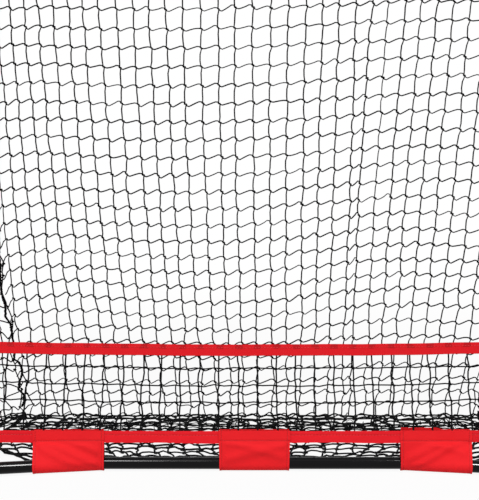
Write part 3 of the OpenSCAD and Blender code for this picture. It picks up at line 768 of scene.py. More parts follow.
def row_end(edge, inner, r):
    """The last points of a row, from its outermost knot to the seam or into the bow's cover."""
    if edge in (0, COLUMNS):
        start = grid[edge, r]
        end = selvedge[inner].at(max(0, row_place(-inner, r) - SEAM_DROP))
        return [start.lerp(end, 0.45) + UP * 2.6, start.lerp(end, 0.75), end]
    beyond = edge - inner
    left_over = columns[edge].length - row_place(columns_u[edge], r)
    gain = columns[edge].length - columns[beyond].length
    share = max(0.05, min(1, left_over / max(gain, 1)))
    return [bow_point(mix(columns_u[edge], columns_u[beyond], share) * SHOULDER, TIE_INSET)]


# %% Strands of the hanging net
wefts, warps = [], []
for r in range(ROWS + 1):
    row = [j for j in range(COLUMNS + 1) if (j, r) in grid]
    if not row:
        continue
    low_part = 1 - smooth((r * MESH - SLACK_BELOW) / 400)
    path = []
    for a, b in zip(row, row[1:]):
        start, end = grid[a, r], grid[b, r]
        low = chance.gauss(mix(*DIPS, low_part), WAVE_SPREAD)
        high = chance.gauss(mix(*HUMPS, low_part), WAVE_SPREAD)
        high += NARROW_HUMP if a == int(NARROW) else 0
        away = chance.gauss(0, 0.8)
        for t in WAVE:
            path.append(start.lerp(end, t) + UP * dip(t, low, high)
                        + Vector((0, away * math.sin(math.pi * t), 0)))
    path.append(grid[row[-1], r])
    if len(row) > 1:
        path = [*reversed(row_end(row[0], 1, r)), *path, *row_end(row[-1], -1, r)]
    if len(path) > 2:
        wefts.append(path)
for j, column in enumerate(columns):
    rows = [r for r in range(ROWS + 1) if (j, r) in grid]
    path = []
    for r in rows[:-1]:
        start, end = grid[j, r], grid[j, r + 1]
        bow, push = chance.gauss(BOWED, BOW_SPREAD), chance.gauss(0, 0.8)
        jog = 0.5 + chance.uniform(0, 0.5)
        path += [start + Vector((-jog, 0, 0.6)), start.lerp(end, 0.3) + Vector((bow, push, 0)),
                 start.lerp(end, 0.66) + Vector((bow * 0.9, push, 0)),
                 end + Vector((jog, 0, -0.6))]
    path += [grid[j, rows[-1]], bow_point(columns_u[j] * SHOULDER, TIE_INSET)]
    warps.append(path)

hanging_net = knotted("hanging_net", "back_net", wefts + warps, STRAND_R, grid.values(), KNOT,
                      chance)
declare_net(hanging_net, wefts, warps)

# %% [markdown]
# ## The side nets
#
# Each side net fills the space between the seam and the side of the bow. It could be one grid
# with the hanging net, but the bag is sewn together here, and the meshes don't run on across the
# seam. So its rows run from the seam to the bow, and its columns lie one mesh apart beside the
# seam and end where the panel gets too narrow for them. Its surplus is gathered along its foot.

# %% Gathered foot
HEM_STRANDS, HEM_STEP = 9, 7
# loose for LOOSE_LEN from the back corner, then drawn together over DRAWN_LEN
LOOSE_LEN, DRAWN_LEN = 60, 130


def gathered_foot(foot, chance):
    """The surplus strands that wander along the foot of a side net."""
    hem = []
    for n in range(HEM_STRANDS):
        path, off_y, off_z = [], 0.0, 0.0
        for i in range(int(foot.length / HEM_STEP)):
            thin = 1 - smooth((i * HEM_STEP - LOOSE_LEN) / DRAWN_LEN)
            off_y, off_z = off_y * 0.85 + chance.gauss(0, 2.2), off_z * 0.8 + chance.gauss(0, 1.2)
            level = 1.6 + (n % 4) * 3.0 * thin
            back_off = Vector((0, mix(2, 4 * n - 30, thin) + off_y * thin, 0))
            path.append(foot.at(i * HEM_STEP) + back_off)
            path[-1].z = max(STRAND_R + 0.2, level + off_z * thin)
        hem.append(path)
    return hem


# %% Side nets
SIDE_TOP = 0.9  # share of the seam that has rows of its own
RUN_LOW = FOOT_RUN - 12
SIDE_SAG, SIDE_SPAN = -26, 480  # a row that spans this much sags this much


def side_net(side, chance):
    """One side net: its knots, its strands across, its hanging strands and its gathered foot."""
    seam = Run(lambda t: bag_point(side, mix(0.0, 0.985, t)))
    rows = int(seam.length * SIDE_TOP / MESH)
    places, reach = {}, []
    for r in range(rows + 1):
        back = seam.at(r * MESH)
        front = bow_point(side * mix(RUN_LOW, SHOULDER, r / rows * SIDE_TOP), TIE_INSET)
        across = (front - back).length
        reach.append((across, back, front))
        for k in range(int(across / MESH) + 1):
            share = k * MESH / across
            sag = SIDE_SAG * math.sin(math.pi * share) * (across / SIDE_SPAN) ** 2
            loose = 2.6 * (1 - smooth(k / 6)) + 1.0
            places[k, r] = back.lerp(front, share) + Vector((0, 0, sag)) + shaken(chance, loose)
            places[k, r].z = max(places[k, r].z, STRAND_R + 0.4)
    wefts, warps = [], []
    for r in range(rows + 1):
        across, back, front = reach[r]
        row = [places[k, r] for k in range(int(across / MESH) + 1)]
        path = []
        for start, end in zip(row, row[1:]):
            low, high = chance.gauss(2.4, 0.8), chance.gauss(2.1, 0.8)
            path += [start.lerp(end, t) + UP * dip(t, low, high) for t in WAVE]
        wefts.append([*path, row[-1], front])
    for k in range(max(k for k, _ in places) + 1):
        rows_here = [r for r in range(rows + 1) if (k, r) in places]
        path = []
        for a, b in zip(rows_here, rows_here[1:]):
            start, end = places[k, a], places[k, b]
            swing = Vector((chance.gauss(0, 1.6), chance.gauss(0, 1.6), 0))
            path += [start, start.lerp(end, 0.3) + swing, start.lerp(end, 0.7) + swing * 0.8]
        path.append(places[k, rows_here[-1]])
        if k and rows_here[-1] < rows:
            path.append(reach[rows_here[-1]][2].lerp(reach[rows_here[-1] + 1][2], 0.5))
        if len(path) > 2:
            warps.append(path)
    hem = gathered_foot(Run(lambda t: reach[0][1].lerp(reach[0][2], t)), chance)
    word = SIDES[side]
    piece = knotted(f"side_netting_{word}", f"side_net_{word}", wefts + warps + hem, STRAND_R,
                    places.values(), KNOT, chance)
    declare_net(piece, wefts, warps)


for side, seed in zip(SIDES, (21, 22)):
    side_net(side, random.Random(seed))

# %% [markdown]
# ## The net on the ground
#
# Behind the tube the net lies flat on the ground, slack and pushed together, so its meshes are
# uneven. It widens from the tube to the width of the bag. A regular grid of straight cords would
# be quicker, but it looks printed. So each knot is shifted a little, and each strand stands up in
# a low arch between its knots, where it casts a small shadow of its own.

# %% Shape of the ground net
FRONT_Y, FRONT_HALF = -79.2, 282.5  # its front edge
FLARE = 0.26  # share of its depth in which it widens
BULGE = 16
GROUND_ROWS = 13
GROUND_R = 1.4
GROUND_KNOT, GROUND_TILT = (6.6, 4.4), 5.0
EDGE_STRANDS = 3
WEFT_HABIT = (1.6, 1.2, 1.5)  # mean rise of an arch, how much it varies, and its sway
WARP_HABIT = (1.4, 1.0, 2.0)
chance = random.Random(31)


def ground_half(share):
    """Half the width: it widens quickly behind the tube and bulges before the back corners."""
    bulge = BULGE * math.sin(math.pi * smooth((share - 0.1) / 0.9))
    return mix(FRONT_HALF, BACK_HALF, min(1, share / FLARE)) + bulge


def arch(start, end, habit, chance):
    """A slack strand on the ground: it lies at its knots and stands up a little between them."""
    mean, spread, sway = habit
    rise = abs(chance.gauss(mean, spread))
    side = Vector((chance.gauss(0, sway), chance.gauss(0, sway), 0))
    points = []
    for t in (0.0, 0.16, 0.36, 0.6, 0.82):
        hump = math.sin(math.pi * t) ** 1.3
        points.append(start.lerp(end, t) + UP * rise * hump
                      + side * math.sin(math.tau * t * 0.9))
    return points


# %% Knots and strands on the ground
places = {}
for r in range(GROUND_ROWS + 1):
    share = r / GROUND_ROWS
    for j in range(COLUMNS + 1):
        u = -1 + 2 * j / COLUMNS
        edge = 0.3 if j in (0, COLUMNS) or r in (0, GROUND_ROWS) else 1.0
        places[j, r] = Vector((u * ground_half(share) + chance.gauss(0, 2.6) * edge,
                               mix(FRONT_Y, BACK_Y, share) + chance.gauss(0, 3.4) * edge,
                               GROUND_R + 0.7 + abs(chance.gauss(0, 0.9))))
wefts, warps = [], []
for r in range(GROUND_ROWS + 1):
    path = []
    for j in range(COLUMNS):
        path += arch(places[j, r], places[j + 1, r], WEFT_HABIT, chance)
    wefts.append([*path, places[COLUMNS, r]])
for j in range(COLUMNS + 1):
    path = []
    for r in range(GROUND_ROWS):
        path += arch(places[j, r], places[j, r + 1], WARP_HABIT, chance)
    warps.append([*path, places[j, GROUND_ROWS]])
edges = []
for j in (0, COLUMNS):
    for n in range(EDGE_STRANDS):
        edges.append([places[j, r] + shaken(chance, 1.1) + UP * (1.0 + n) * 0.8
                      for r in range(GROUND_ROWS + 1)])
ground_net = knotted("ground_net", "floor_net", wefts + warps + edges, GROUND_R, places.values(),
                     GROUND_KNOT, chance, GROUND_TILT)
declare_net(ground_net, wefts, warps, cover=0.55)

# %% [markdown]
# ## The ball fence
#
# Between the two red tapes a strip of the same net is stretched tight, so its meshes are square
# and its strands straight. It leans back from the tube, and the upper tape sags a little in the
# middle and takes the fence down with it. An array modifier could repeat one square along it,
# but then all of them would be the same. Here one function gives the points of the fence's
# slope, and the upper tape follows it as well, so the two stay together.

# %% Slope of the fence
FENCE_LEAN = math.radians(35)
FENCE_Y, FENCE_Z = -99.14, 50.5  # its foot, behind the lower tape
FENCE_LEN, TAPE_W = 114.0, 16.5
STRIP_HALF, BAND_HALF = 519.3, 462.9  # half the lengths of the lower and the upper tape
FIRST_ROW = 20.5
FENCE_ROWS = [FIRST_ROW + i * MESH for i in range(4)]
FENCE_SHIFT = 6.0  # of the columns, to the right
BAND_SAG, BAND_LIFT, ROW_LIFT = 7.0, 3.0, 5.5
SAG_FROM_TOP = 1.5  # the sag is whole from the top down to FENCE_LEN divided by this
WARP_R = STRAND_R * 1.15
chance = random.Random(41)


def fence_point(x, v, out=0.0):
    """A point of the fence: v along its slope from the lower tape, out towards the player."""
    taken = max(0, min(1, v / FENCE_LEN * SAG_FROM_TOP))
    sag = (BAND_LIFT - BAND_SAG * (1 - (x / BAND_HALF) ** 2)) * taken
    sag += ROW_LIFT * (x / BAND_HALF) ** 2 * smooth(v / 20) * max(0, 1 - (v / FENCE_LEN) ** 3)
    return Vector((x, FENCE_Y + v * math.sin(FENCE_LEAN) - out * math.cos(FENCE_LEAN),
                   FENCE_Z + v * math.cos(FENCE_LEAN) + sag + out * math.sin(FENCE_LEAN)))


def fence_half(v):
    """Half the fence's width at v: it narrows from the lower tape to the upper one."""
    return mix(STRIP_HALF, BAND_HALF, v / (FENCE_LEN + TAPE_W)) - 3


# %% Knots of the fence
count = int(STRIP_HALF / MESH)
lines = [k * MESH + FENCE_SHIFT for k in range(-count - 1, count + 1)]
places = {}
for k, x in enumerate(lines):
    for i, v in enumerate(FENCE_ROWS):
        if abs(x) < fence_half(v):
            places[k, i] = fence_point(x + chance.gauss(0, 0.9), v + chance.gauss(0, 0.6))
print(len(places), "knots in the fence")

# %% Strands of the fence
wefts, warps = [], []
for i, v in enumerate(FENCE_ROWS):
    row = [places[k, i] for k in range(len(lines)) if (k, i) in places]
    path = [fence_point(-fence_half(v), v)]
    for start, end in zip(row, row[1:]):
        slack = chance.gauss(0.5, 0.35)
        path += [start, start.lerp(end, 0.25) + UP * -slack, start.lerp(end, 0.75) + UP * slack]
    wefts.append([*path, row[-1], fence_point(fence_half(v), v)])
for k, x in enumerate(lines):
    column = [places[k, i] for i in range(len(FENCE_ROWS)) if (k, i) in places]
    if column:
        over = len(column) == len(FENCE_ROWS) and abs(x) < BAND_HALF - 3
        head = [fence_point(x, FENCE_LEN + TAPE_W - 2)] if over else []
        column = [fence_point(x, -1), *column, *head]
        path = []
        for start, end in zip(column, column[1:]):
            bend = Vector((chance.gauss(-0.5, 0.9), chance.gauss(0, 0.5), 0))
            path += [start, start.lerp(end, 0.33) + bend, start.lerp(end, 0.7) + bend]
        warps.append([*path, column[-1]])
weft_part = cords("fence_netting", wefts, STRAND_R, TWINE)
warp_part = cords("fence_warps", warps, WARP_R, TWINE)
lumps = knots("fence_knots", places.values(), KNOT, chance, KNOT_TILT)
fence_netting = settled(joined("fence_netting", weft_part, warp_part, lumps), "net_cord",
                        "fence_net")
declare_net(fence_netting, wefts, warps)

# %% [markdown]
# ## The bunched net
#
# The surplus of the net lies in a long low heap along the back of the bag. A rough solid in the
# finish of the net would fill the same room, but light falls through the real heap. So it is
# still a net: its rows are pushed together, its columns bunch where the knots lie on each other,
# and a few slack strands curl up out of it.

# %% Rows of the heap
HEAP_HALF, HEAP_Y0, HEAP_Y1 = 326.0, 90.0, 158.0
HEAP_LOW, HEAP_TOP = 3.8, 10.0  # heights of its lowest and its highest row
HEAP_ROWS = 6
HEAP_R = 0.64
PUSHED = 0.82  # its meshes are pushed together to this share
HEAP_COLUMNS = int(2 * HEAP_HALF / (MESH * PUSHED))
HEAP_TILT = 8.0
CURLS, CURL_POINTS = 34, 9
chance = random.Random(51)


def heap_row(n):
    """The knots of one row of the heap, which wander back and forth and up and down."""
    level = (n * 0.618) % 1.0
    off_y, off_z, knots_here = 0.0, 0.0, []
    for j in range(HEAP_COLUMNS + 1):
        off_y = off_y * 0.6 + chance.gauss(0, 3.6)
        off_z = off_z * 0.6 + chance.gauss(0, 1.7)
        x = mix(-HEAP_HALF, HEAP_HALF, j / HEAP_COLUMNS) + chance.gauss(0, 2.6)
        y = mix(HEAP_Y0, HEAP_Y1, (n + 0.5) / HEAP_ROWS) + off_y
        z = mix(HEAP_LOW, HEAP_TOP, level) + off_z
        knots_here.append(Vector((x, max(HEAP_Y0 - 2, min(HEAP_Y1 + 2, y)),
                                  max(STRAND_R + 2.2, min(HEAP_TOP + 2.5, z)))))
    return knots_here


rows = [heap_row(n) for n in range(HEAP_ROWS)]
print(sum(len(row) for row in rows), "knots in the heap")

# %% Strings of the heap
strings, bunch_places = [], []
for row in rows:
    for layer in range(2):
        path = []
        for a, b in zip(row, row[1:]):
            sway, rise = chance.gauss(0, 2.6), chance.gauss(0, 1.7)
            for t in (0.0, 0.2, 0.45, 0.7, 0.88):
                path.append(a.lerp(b, t) + Vector((0, sway * math.sin(math.tau * t * 0.7),
                                                   rise * math.sin(math.pi * t))))
                path[-1].z = max(path[-1].z, STRAND_R + 1.9)
        strings.append([*path, row[-1]])
        if chance.random() < 0.55:
            break
    bunch_places += row
for j in range(HEAP_COLUMNS + 1):
    path = []
    for row in rows:
        path += [row[j] + shaken(chance, 1.0),
                 row[j] + Vector((chance.gauss(0, 1.6), 5.5, chance.gauss(1.0, 1.6)))]
    strings.append(path)
for _ in range(CURLS):
    start = chance.choice(rows[-1] + rows[-2])
    size, turn = chance.uniform(2.6, 5.2), chance.choice((-1, 1))
    curl = []
    for k in range(CURL_POINTS):
        a = math.pi * (1.15 - 1.5 * k / (CURL_POINTS - 1))
        curl.append(start + Vector((turn * (size + size * math.cos(a)), chance.gauss(0, 0.6),
                                    size * 1.1 * math.sin(a) + 1.5)))
    strings.append(curl)
knotted("bunched_net", "gathered_net", strings, HEAP_R, bunch_places, KNOT, chance, HEAP_TILT)

# %% [markdown]
# ## The seams and the corner bunches
#
# Where the back net and a side net are sewn together the meshes are drawn up into a lumpy dark
# cord. One thick cord would be too smooth and too even. So it is made of one thicker core that
# kinks at its knots, three thin strands thrown round it, and knots. At its foot the surplus is
# tied into a bunch, whose loops are thrown round one flat lump.

# %% Seams
KINKS = ((0, 0), (13, 5), (28, 6), (40, -1), (60, 3), (74, 8), (87, 9), (100, 6), (107, 0),
         (124, 2), (164, 2), (176, 2), (190, -4), (211, -2), (224, -4), (239, -5), (265, -4),
         (279, -2), (297, -3))  # along the seam from its foot, and inwards
CORE_R = 1.25
WINDS, WIND_R, WIND_TURN = 3, STRAND_R * 0.75, 1.3  # the turn is from one point to the next
SEAM_KNOT, SEAM_TILT = (5.6, 3.8), 55.0


def seam(side, chance):
    """A core that runs straight from kink to kink, with tight strands laid round it."""
    line = Run(lambda t: bag_point(side, mix(0.018, 0.975, t)))
    places = list(KINKS)
    while places[-1][0] < line.length - 30:
        places.append((places[-1][0] + chance.uniform(10, 26), chance.gauss(0, 1.4)))
    kinks = [line.at(s) + Vector((-side * off, chance.gauss(0, 1.0), 0)) for s, off in places]
    kinks.append(line.at(line.length))
    winds = []
    for turn in range(WINDS):
        fine, angle = [], turn * math.tau / WINDS
        for a, b in zip(kinks, kinks[1:]):
            for t in (0.0, 0.25, 0.5, 0.75):
                angle += WIND_TURN
                r = CORE_R + abs(chance.gauss(0, 0.35))
                fine.append(a.lerp(b, t) + Vector((r * math.cos(angle), r * math.sin(angle), 0)))
        winds.append(fine)
    word = SIDES[side]
    core_part = cords(f"seam_{word}", [kinks], CORE_R, TWINE, 1)
    wind_part = cords(f"seam_winds_{word}", winds, WIND_R, TWINE)
    lumps = knots(f"seam_knots_{word}", kinks[1:-1], SEAM_KNOT, chance, SEAM_TILT)
    settled(joined(f"seam_{word}", core_part, wind_part, lumps), "net_cord",
            f"seam_cord_{word}")


# %% Corner bunches
BUNCH_LOOPS, BUNCH_POINTS = 5, 12
BUNCH_KNOT = (4.6, 3.0)


def corner_bunch(side, chance):
    """The surplus tied off at the foot of the seam: loops thrown round one flat lump."""
    word = SIDES[side]
    low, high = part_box(f"corner_knot_{word}")
    middle, size = (low + high) / 2 / MM, (high - low) / MM
    paths, places = [], []
    for _ in range(BUNCH_LOOPS):
        path = []
        for _ in range(BUNCH_POINTS):
            a, b = chance.uniform(0, math.tau), chance.uniform(-1, 1)
            r = (1 - b * b) ** 0.5 * chance.uniform(0.35, 1.0)
            path.append(middle + Vector((-side * 3 + size.x * 0.24 * r * math.cos(a),
                                         size.y * 0.36 * r * math.sin(a),
                                         size.z * (0.42 * b - 0.04))))
        soft = [path[0]]
        for p in path[1:]:
            soft += [soft[-1].lerp(p, 0.5) + Vector((0, 0, chance.uniform(-1.5, 1.5))), p]
        paths.append(soft)
        places += path[::3]
    knotted(f"corner_bunch_{word}", f"corner_knot_{word}", paths, STRAND_R, places, BUNCH_KNOT,
            chance)


for side in SIDES:
    seam(side, random.Random(61 + side))
    corner_bunch(side, random.Random(71 + side))

# %% [markdown]
# ## Red cloth
#
# The loops, the tapes and the bow's cover are thin sheets. A cloth simulation would let them fall
# into folds of its own choice, but here the seams and folds have known places. So a sheet starts
# as Blender's own grid, whose points are then put in place one by one, and its UV map is kept in
# metres of real cloth. Solidify gives it its thickness. Stitches are short cords on the cloth.


# %% Cloth maker
def cloth(name, across, along, size, shape, material, thick=0.9):
    """A sheet of size (width, length) in mm; shape(u, v) places its points, in mm."""
    deselect()
    bpy.ops.mesh.primitive_grid_add(x_subdivisions=across, y_subdivisions=along, size=2)
    made = bpy.context.object
    made.name = made.data.name = name
    for vertex in made.data.vertices:
        u, v = (vertex.co.x + 1) / 2, (vertex.co.y + 1) / 2
        vertex.co = shape(u, v) * MM
    for loop in made.data.uv_layers.active.data:
        loop.uv = (loop.uv[0] * size[0] * MM, loop.uv[1] * size[1] * MM)
    made.data.materials.append(material)
    layer = made.modifiers.new("thickness", "SOLIDIFY")
    layer.thickness, layer.offset, layer.use_even_offset = thick * MM, 0.0, True
    bpy.ops.object.modifier_apply(modifier=layer.name)
    bpy.ops.object.shade_smooth_by_angle(angle=math.radians(50))
    return made


# %% Stitches
THREAD_R = 0.34


def stitches(name, line, count, lift):
    """A row of short stitches along line(t), which gives a point and the way out of the cloth."""
    dashes = []
    for i in range(count):
        a, out = line((i + 0.18) / count)
        b, _ = line((i + 0.82) / count)
        dashes.append([a + out * lift * 0.3, a.lerp(b, 0.5) + out * lift, b + out * lift * 0.3])
    return cords(name, dashes, THREAD_R, STITCH)


# %% [markdown]
# ## The two tapes of the fence
#
# The lower tape is folded over the fence's edge and hangs straight between the red loops, a
# little wavy. The upper tape is the fence's top edge. Both carry a line of stitches about a
# third of the way down. A long flat box would do for a stiff band, but a tape ripples, and its
# seam draws a groove in it. So both are sheets of cloth.

# %% Shapes of the tapes
STRIP_Y, STRIP_LOW = -103.02, 39.0
SAG, SAG_HALF = -1.1, 330  # the lower tape sags this much, over this half length
LOWER_SEAM, UPPER_SEAM = 0.66, 0.7  # share of the tape's width at which it is sewn
GROOVE_W = 0.9
LIFT_OFF = 0.45  # from the middle of the cloth to its thread
LOWER_WAVES = ((0.55, 41.0, 0), (0.35, 17.3, 2))  # size, length and start of each
UPPER_WAVES = ((0.35, 37.0, 0), (0.25, 13.0, 0))
TAPE_OUT = 2.2  # how far the upper tape lies before the fence


def ripple(x, waves):
    """The height of small waves along a tape."""
    return sum(size * math.sin(x / length + start) for size, length, start in waves)


def lower_tape_point(u, v):
    x = mix(-STRIP_HALF, STRIP_HALF, u)
    wave = ripple(x, LOWER_WAVES)
    sag = SAG * (1 - (x / SAG_HALF) ** 2) if abs(x) < SAG_HALF else 0.0
    hang = 1 - v
    z = STRIP_LOW + TAPE_W * v + sag + (wave + 0.9) * hang * 0.9
    groove = 0.35 * bell((v - LOWER_SEAM) * TAPE_W, GROOVE_W)
    y = STRIP_Y + 0.6 + 0.5 * hang * math.sin(x / 23.0 + 1) + groove
    return Vector((x, y, z))


def upper_tape_point(u, v):
    x = mix(-BAND_HALF, BAND_HALF, u)
    wave = ripple(x, UPPER_WAVES)
    out = TAPE_OUT + wave * 0.5 - 0.3 * bell((v - UPPER_SEAM) * TAPE_W, GROOVE_W)
    return fence_point(x, FENCE_LEN + TAPE_W * v + wave * 0.4, out)


# %% Tapes
lower_tape = cloth("lower_tape", 420, 14, (2 * STRIP_HALF, TAPE_W), lower_tape_point, TAPE)
settled(lower_tape, "red_tape", "fence_strip")
upper_tape = cloth("upper_tape", 380, 14, (2 * BAND_HALF, TAPE_W), upper_tape_point, BAND)
settled(upper_tape, "red_tape", "fence_band")
FRONT = Vector((0, -1, 0))
FENCE_OUT = Vector((0, -math.cos(FENCE_LEAN), math.sin(FENCE_LEAN)))
settled(stitches("lower_tape_stitches",
                 lambda t: (lower_tape_point(t, LOWER_SEAM) + FRONT * LIFT_OFF, FRONT),
                 250, 0.3), "red_tape")
settled(stitches("upper_tape_stitches",
                 lambda t: (upper_tape_point(t, UPPER_SEAM) + FENCE_OUT * LIFT_OFF, FENCE_OUT),
                 225, 0.3), "red_tape")

# %% [markdown]
# ## The loops round the base tube
#
# Each loop hangs from the lower tape, goes round the tube and comes up behind it. Its sides are
# hemmed and stitched, its cloth is drawn in a little towards the tube, and soft diagonal folds
# run across it. The two outer loops sit on the bends, so their path follows the arm. A band swept
# along one path would go round the tube, but it couldn't follow the bend or fold. So each place
# across the loop has a path of its own, and hems, crease and folds are small heights above it.

# %% Measures of the loops
LOOP_PITCH = 240.0
LOOP_MIDDLES = {"left": -LOOP_PITCH, "center": 1.6, "right": LOOP_PITCH - 2}
TUBE_Z, TUBE_R, BEND_X, ARM_TURN = 10.0, 8.0, 200.0, math.radians(12)
LOOP_TOP, LIP_Z = 55.5, 38.0  # the cloth is flat from its top edge down to its lip
FLAP_TOP = {"left": 54.6, "center": 54.6, "right": 54.8}
FLAP_STEP = 1.8  # the right flap's left half stands this much higher
CLOTH_T = 1.2
WRAP_R = TUBE_R / math.cos(ARM_TURN) + 0.6 + CLOTH_T / 2
BACK_SLACK = 3.4  # between the tube and the cloth behind it
CREASE = 0.11  # share of the loop's length from its top to the crease under the tape
CREASE_DEEP, HEM_RISE = 0.6, 0.35
FOLD_ALONG = 2.6  # how much faster a fold fades along the loop than across
TAPER = 0.022  # how much narrower the cloth is drawn at the tube
# place across, place along, slant, width and height of each soft fold
FOLDS = {
    "left": ((0.20, 0.22, -1.0, 0.15, 3.2), (0.52, 0.24, -0.9, 0.13, 3.0),
             (0.84, 0.20, -0.8, 0.12, 2.2)),
    "center": ((0.3, 0.27, 0.5, 0.14, 2.0), (0.72, 0.24, -0.6, 0.13, 1.9)),
    "right": ((0.22, 0.26, 0.9, 0.14, 2.4), (0.52, 0.25, 1.1, 0.12, 2.8),
              (0.80, 0.22, -0.7, 0.12, 2.2)),
}
print("the cloth goes round the tube at a radius of", round(WRAP_R, 2), "mm")


# %% Path of a loop
def tube_y(x):
    """Where the tube's centre line runs: straight, and beyond the bend towards the player."""
    return BAR_Y - max(0.0, abs(x) - BEND_X) * math.tan(ARM_TURN)


def loop_path(x, flap_z):
    """The loop's middle surface at x: straight from the tape to the tube, round it, up behind."""
    y = tube_y(x)
    back = y + TUBE_R + BACK_SLACK + CLOTH_T / 2
    top = STRIP_Y - 0.4 - CLOTH_T / 2
    away, up = top - y, LIP_Z - TUBE_Z
    lip = min(math.radians(179), math.atan2(up, away) + math.acos(WRAP_R / math.hypot(away, up)))
    drop = TUBE_Z - CLOTH_T / 2
    middle, half = (y - WRAP_R + back) / 2, (back - y + WRAP_R) / 2
    flap_y = FENCE_Y + (flap_z - FENCE_Z) * math.tan(FENCE_LEAN) + 2.6
    path = [(top, LOOP_TOP), (top, LIP_Z)]
    for k in range(6):
        a = mix(lip, math.pi, k / 6)
        path.append((y + WRAP_R * math.cos(a), TUBE_Z + WRAP_R * math.sin(a)))
    for k in range(17):
        a = math.pi * (1 + k / 16)
        path.append((middle + half * math.cos(a), TUBE_Z + drop * math.sin(a)))
    return path + [(mix(back, flap_y, 0.4), mix(TUBE_Z, flap_z, 0.4)), (flap_y, flap_z)]


def along_path(path, t):
    """A point at share t of a path's length, and the way out of the cloth there."""
    reach = [0.0]
    for a, b in zip(path, path[1:]):
        reach.append(reach[-1] + math.dist(a, b))
    s = t * reach[-1]
    k = max(1, min(len(path) - 1, bisect.bisect_left(reach, s)))
    share = (s - reach[k - 1]) / (reach[k] - reach[k - 1])
    (y0, z0), (y1, z1) = path[k - 1], path[k]
    span = math.dist(path[k - 1], path[k])
    return (mix(y0, y1, share), mix(z0, z1, share)), Vector((0, z1 - z0, y0 - y1)) / span


# %% Cloth of a loop
def loop_point(middle_x, word, u, v):
    """The loop's cloth with its hems, the crease under the tape and its slanting soft folds."""
    taper = 1 - TAPER * smooth(v / 0.42)
    x = middle_x + (u - 0.5) * LOOP_W * taper
    step = FLAP_STEP * (1 - smooth((u - 0.5) / 0.1)) if word == "right" else 0
    flap = FLAP_TOP[word] + step
    (y, z), out = along_path(loop_path(x, flap), v)
    edge = min(u, 1 - u) * LOOP_W
    hem = HEM_RISE * (1 - smooth((edge - HEM) / 1.2) - bell(edge - HEM, 0.7))
    front = smooth((0.40 - v) / 0.06) * smooth((v - CREASE) / 0.06) * smooth((edge - 3) / 8)
    fold = sum(size * bell((u - a) * slant + (v - b) * FOLD_ALONG, wide)
               for a, b, slant, wide, size in FOLDS[word])
    crease = -CREASE_DEEP * bell(v - CREASE, 0.009)
    in_front = v < 0.5
    placed = Vector((x, y, z)) + out * (hem + (crease + fold * front) * in_front)
    placed.z = max(placed.z, CLOTH_T / 2)
    return placed


# %% Base loops
LOOP_LEN = 124.0
for word, middle_x in LOOP_MIDDLES.items():

    def shape(u, v, middle_x=middle_x, word=word):
        return loop_point(middle_x, word, u, v)

    loop = cloth(f"base_loop_{word}", 60, 110, (LOOP_W, LOOP_LEN), shape, LOOP_CLOTH,
                 CLOTH_T * 0.8)
    settled(loop, "red_cloth", f"base_sleeve_{word}")
    rows = []
    for u in (HEM / LOOP_W, 1 - HEM / LOOP_W):
        rows.append(stitches(f"loop_row_{word}",
                             lambda t, u=u: (shape(u, mix(0.004, 0.37, t)) + FRONT * 0.5, FRONT),
                             16, 0.35))
    rows.append(stitches(f"loop_top_{word}",
                         lambda t: (shape(mix(0.05, 0.95, t), CREASE) + FRONT * 0.5, FRONT),
                         26, 0.35))
    settled(joined(f"base_loop_stitches_{word}", *rows), "red_cloth")

# %% [markdown]
# ## The cover of the bow
#
# One strip of cloth is folded round the poles and its two edges are sewn together over the edge
# of the net. The cover is a little loose, so it puckers between stitches. A tube round the poles
# would be simpler, but it would have no sewn edges to hold the net. So the cross-section of the
# folded strip is carried along the bow, and the whole is one sheet of cloth.

# %% Section of the cover
COVER_R = 6.95
FLAT_FROM, FLAT_HALF = 8.0, 1.35  # where the two edges lie together, and half their distance
TAPE_REACH = 21.6  # how far in they reach
OPENING = 0.19  # radians between the middle line and where the round part starts
SLEEVE_LOW_RUN = 1384.0
SLEEVE_GAP = 0.3
ROUND = 26  # steps round the poles
SEW_LINE = 11.2
COVER_STEP, SEW_STEP = 5, 5.5


def bow_frame(run):
    """A point on the bow, the way inwards there and the way to the side."""
    middle = bow_point(run, 0)
    inward = (bow_point(run, 1) - middle).normalized()
    tangent = (bow_point(run + 0.5, 0) - bow_point(run - 0.5, 0)).normalized()
    return middle, inward, tangent.cross(inward).normalized()


def cover_section():
    """Cross-section of the folded strip: (inwards, sideways, how much it may pucker)."""
    points = [(mix(TAPE_REACH, FLAT_FROM, k / 4), FLAT_HALF, 0.3) for k in range(5)]
    for k in range(1, ROUND):
        a = mix(OPENING, math.tau - OPENING, k / ROUND)
        points.append((COVER_R * math.cos(a), COVER_R * math.sin(a), 1.0))
    return points + [(mix(FLAT_FROM, TAPE_REACH, k / 4), -FLAT_HALF, 0.3) for k in range(5)]


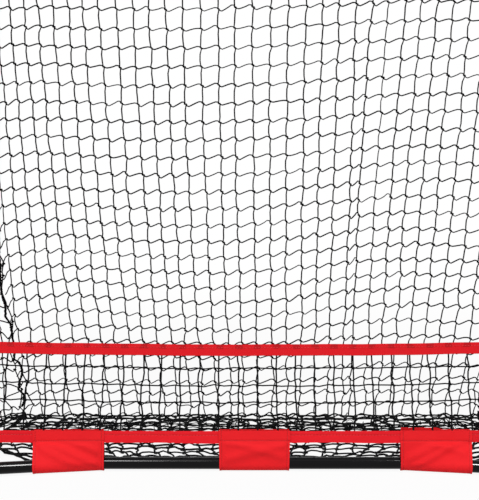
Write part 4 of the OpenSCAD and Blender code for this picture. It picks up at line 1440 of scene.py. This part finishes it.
section = cover_section()
section_len = sum(math.dist(a[:2], b[:2]) for a, b in zip(section, section[1:]))
print("the strip is", round(section_len, 1), "mm wide")


# %% Bow covers
def cover(word, run0, run1, seed):
    """The cover from one run along the bow to another, with a row of stitches on each side."""
    length = abs(run1 - run0)
    steps = int(length / COVER_STEP)
    chance = random.Random(seed)
    beats = [chance.uniform(0, math.tau) for _ in range(5)]

    def shape(u, v):
        k = min(len(section) - 1, round(u * (len(section) - 1)))
        inward, sideways, free = section[k]
        run = mix(run0, run1, v)
        middle, n, b = bow_frame(run)
        ends = min(v, 1 - v) * length
        pucker = 0.34 * math.sin(run / 3.9 + 4 * u + beats[0]) * math.sin(run / 31 + beats[1])
        pucker += 0.26 * math.sin(run / 9.1 - 7 * u + beats[2])
        hem = 0.3 * (1 - smooth((ends - 8) / 3))
        grow = 1 + (pucker * 0.5 + hem) * free / COVER_R
        wave = 0.35 * math.sin(run / 14 + beats[3]) * (1 - free)
        return middle + n * inward * (grow if free == 1.0 else 1) + b * (sideways * grow + wave)

    made = cloth(f"bow_cover_{word}", len(section) - 1, steps, (section_len, length), shape,
                 CLOTH, 0.8)
    settled(made, "red_cloth", f"bow_sleeve_{word}")
    poles = ("pole_left_top", "pole_right_top") if word == "top" else (f"pole_{word}_upper",)
    length * MM

    def line(side):
        def at(t):
            middle, n, b = bow_frame(mix(run0, run1, mix(0.004, 0.996, t)))
            return middle + n * SEW_LINE + b * side * (FLAT_HALF + LIFT_OFF), b * side
        return at

    count = int(length / SEW_STEP)
    settled(joined(f"bow_stitches_{word}", stitches(f"bow_row_{word}", line(1), count, 0.3),
                   stitches(f"bow_row_back_{word}", line(-1), count, 0.3)), "red_cloth")


cover("left", -SLEEVE_LOW_RUN, -TOP_RUN - SLEEVE_GAP, 81)
cover("top", -TOP_RUN + SLEEVE_GAP, TOP_RUN - SLEEVE_GAP, 82)
cover("right", TOP_RUN + SLEEVE_GAP, SLEEVE_LOW_RUN, 83)

# %% Sizes and finish
low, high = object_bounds()
print("visual box in mm", [round(v / MM, 1) for v in (*low, *high)])
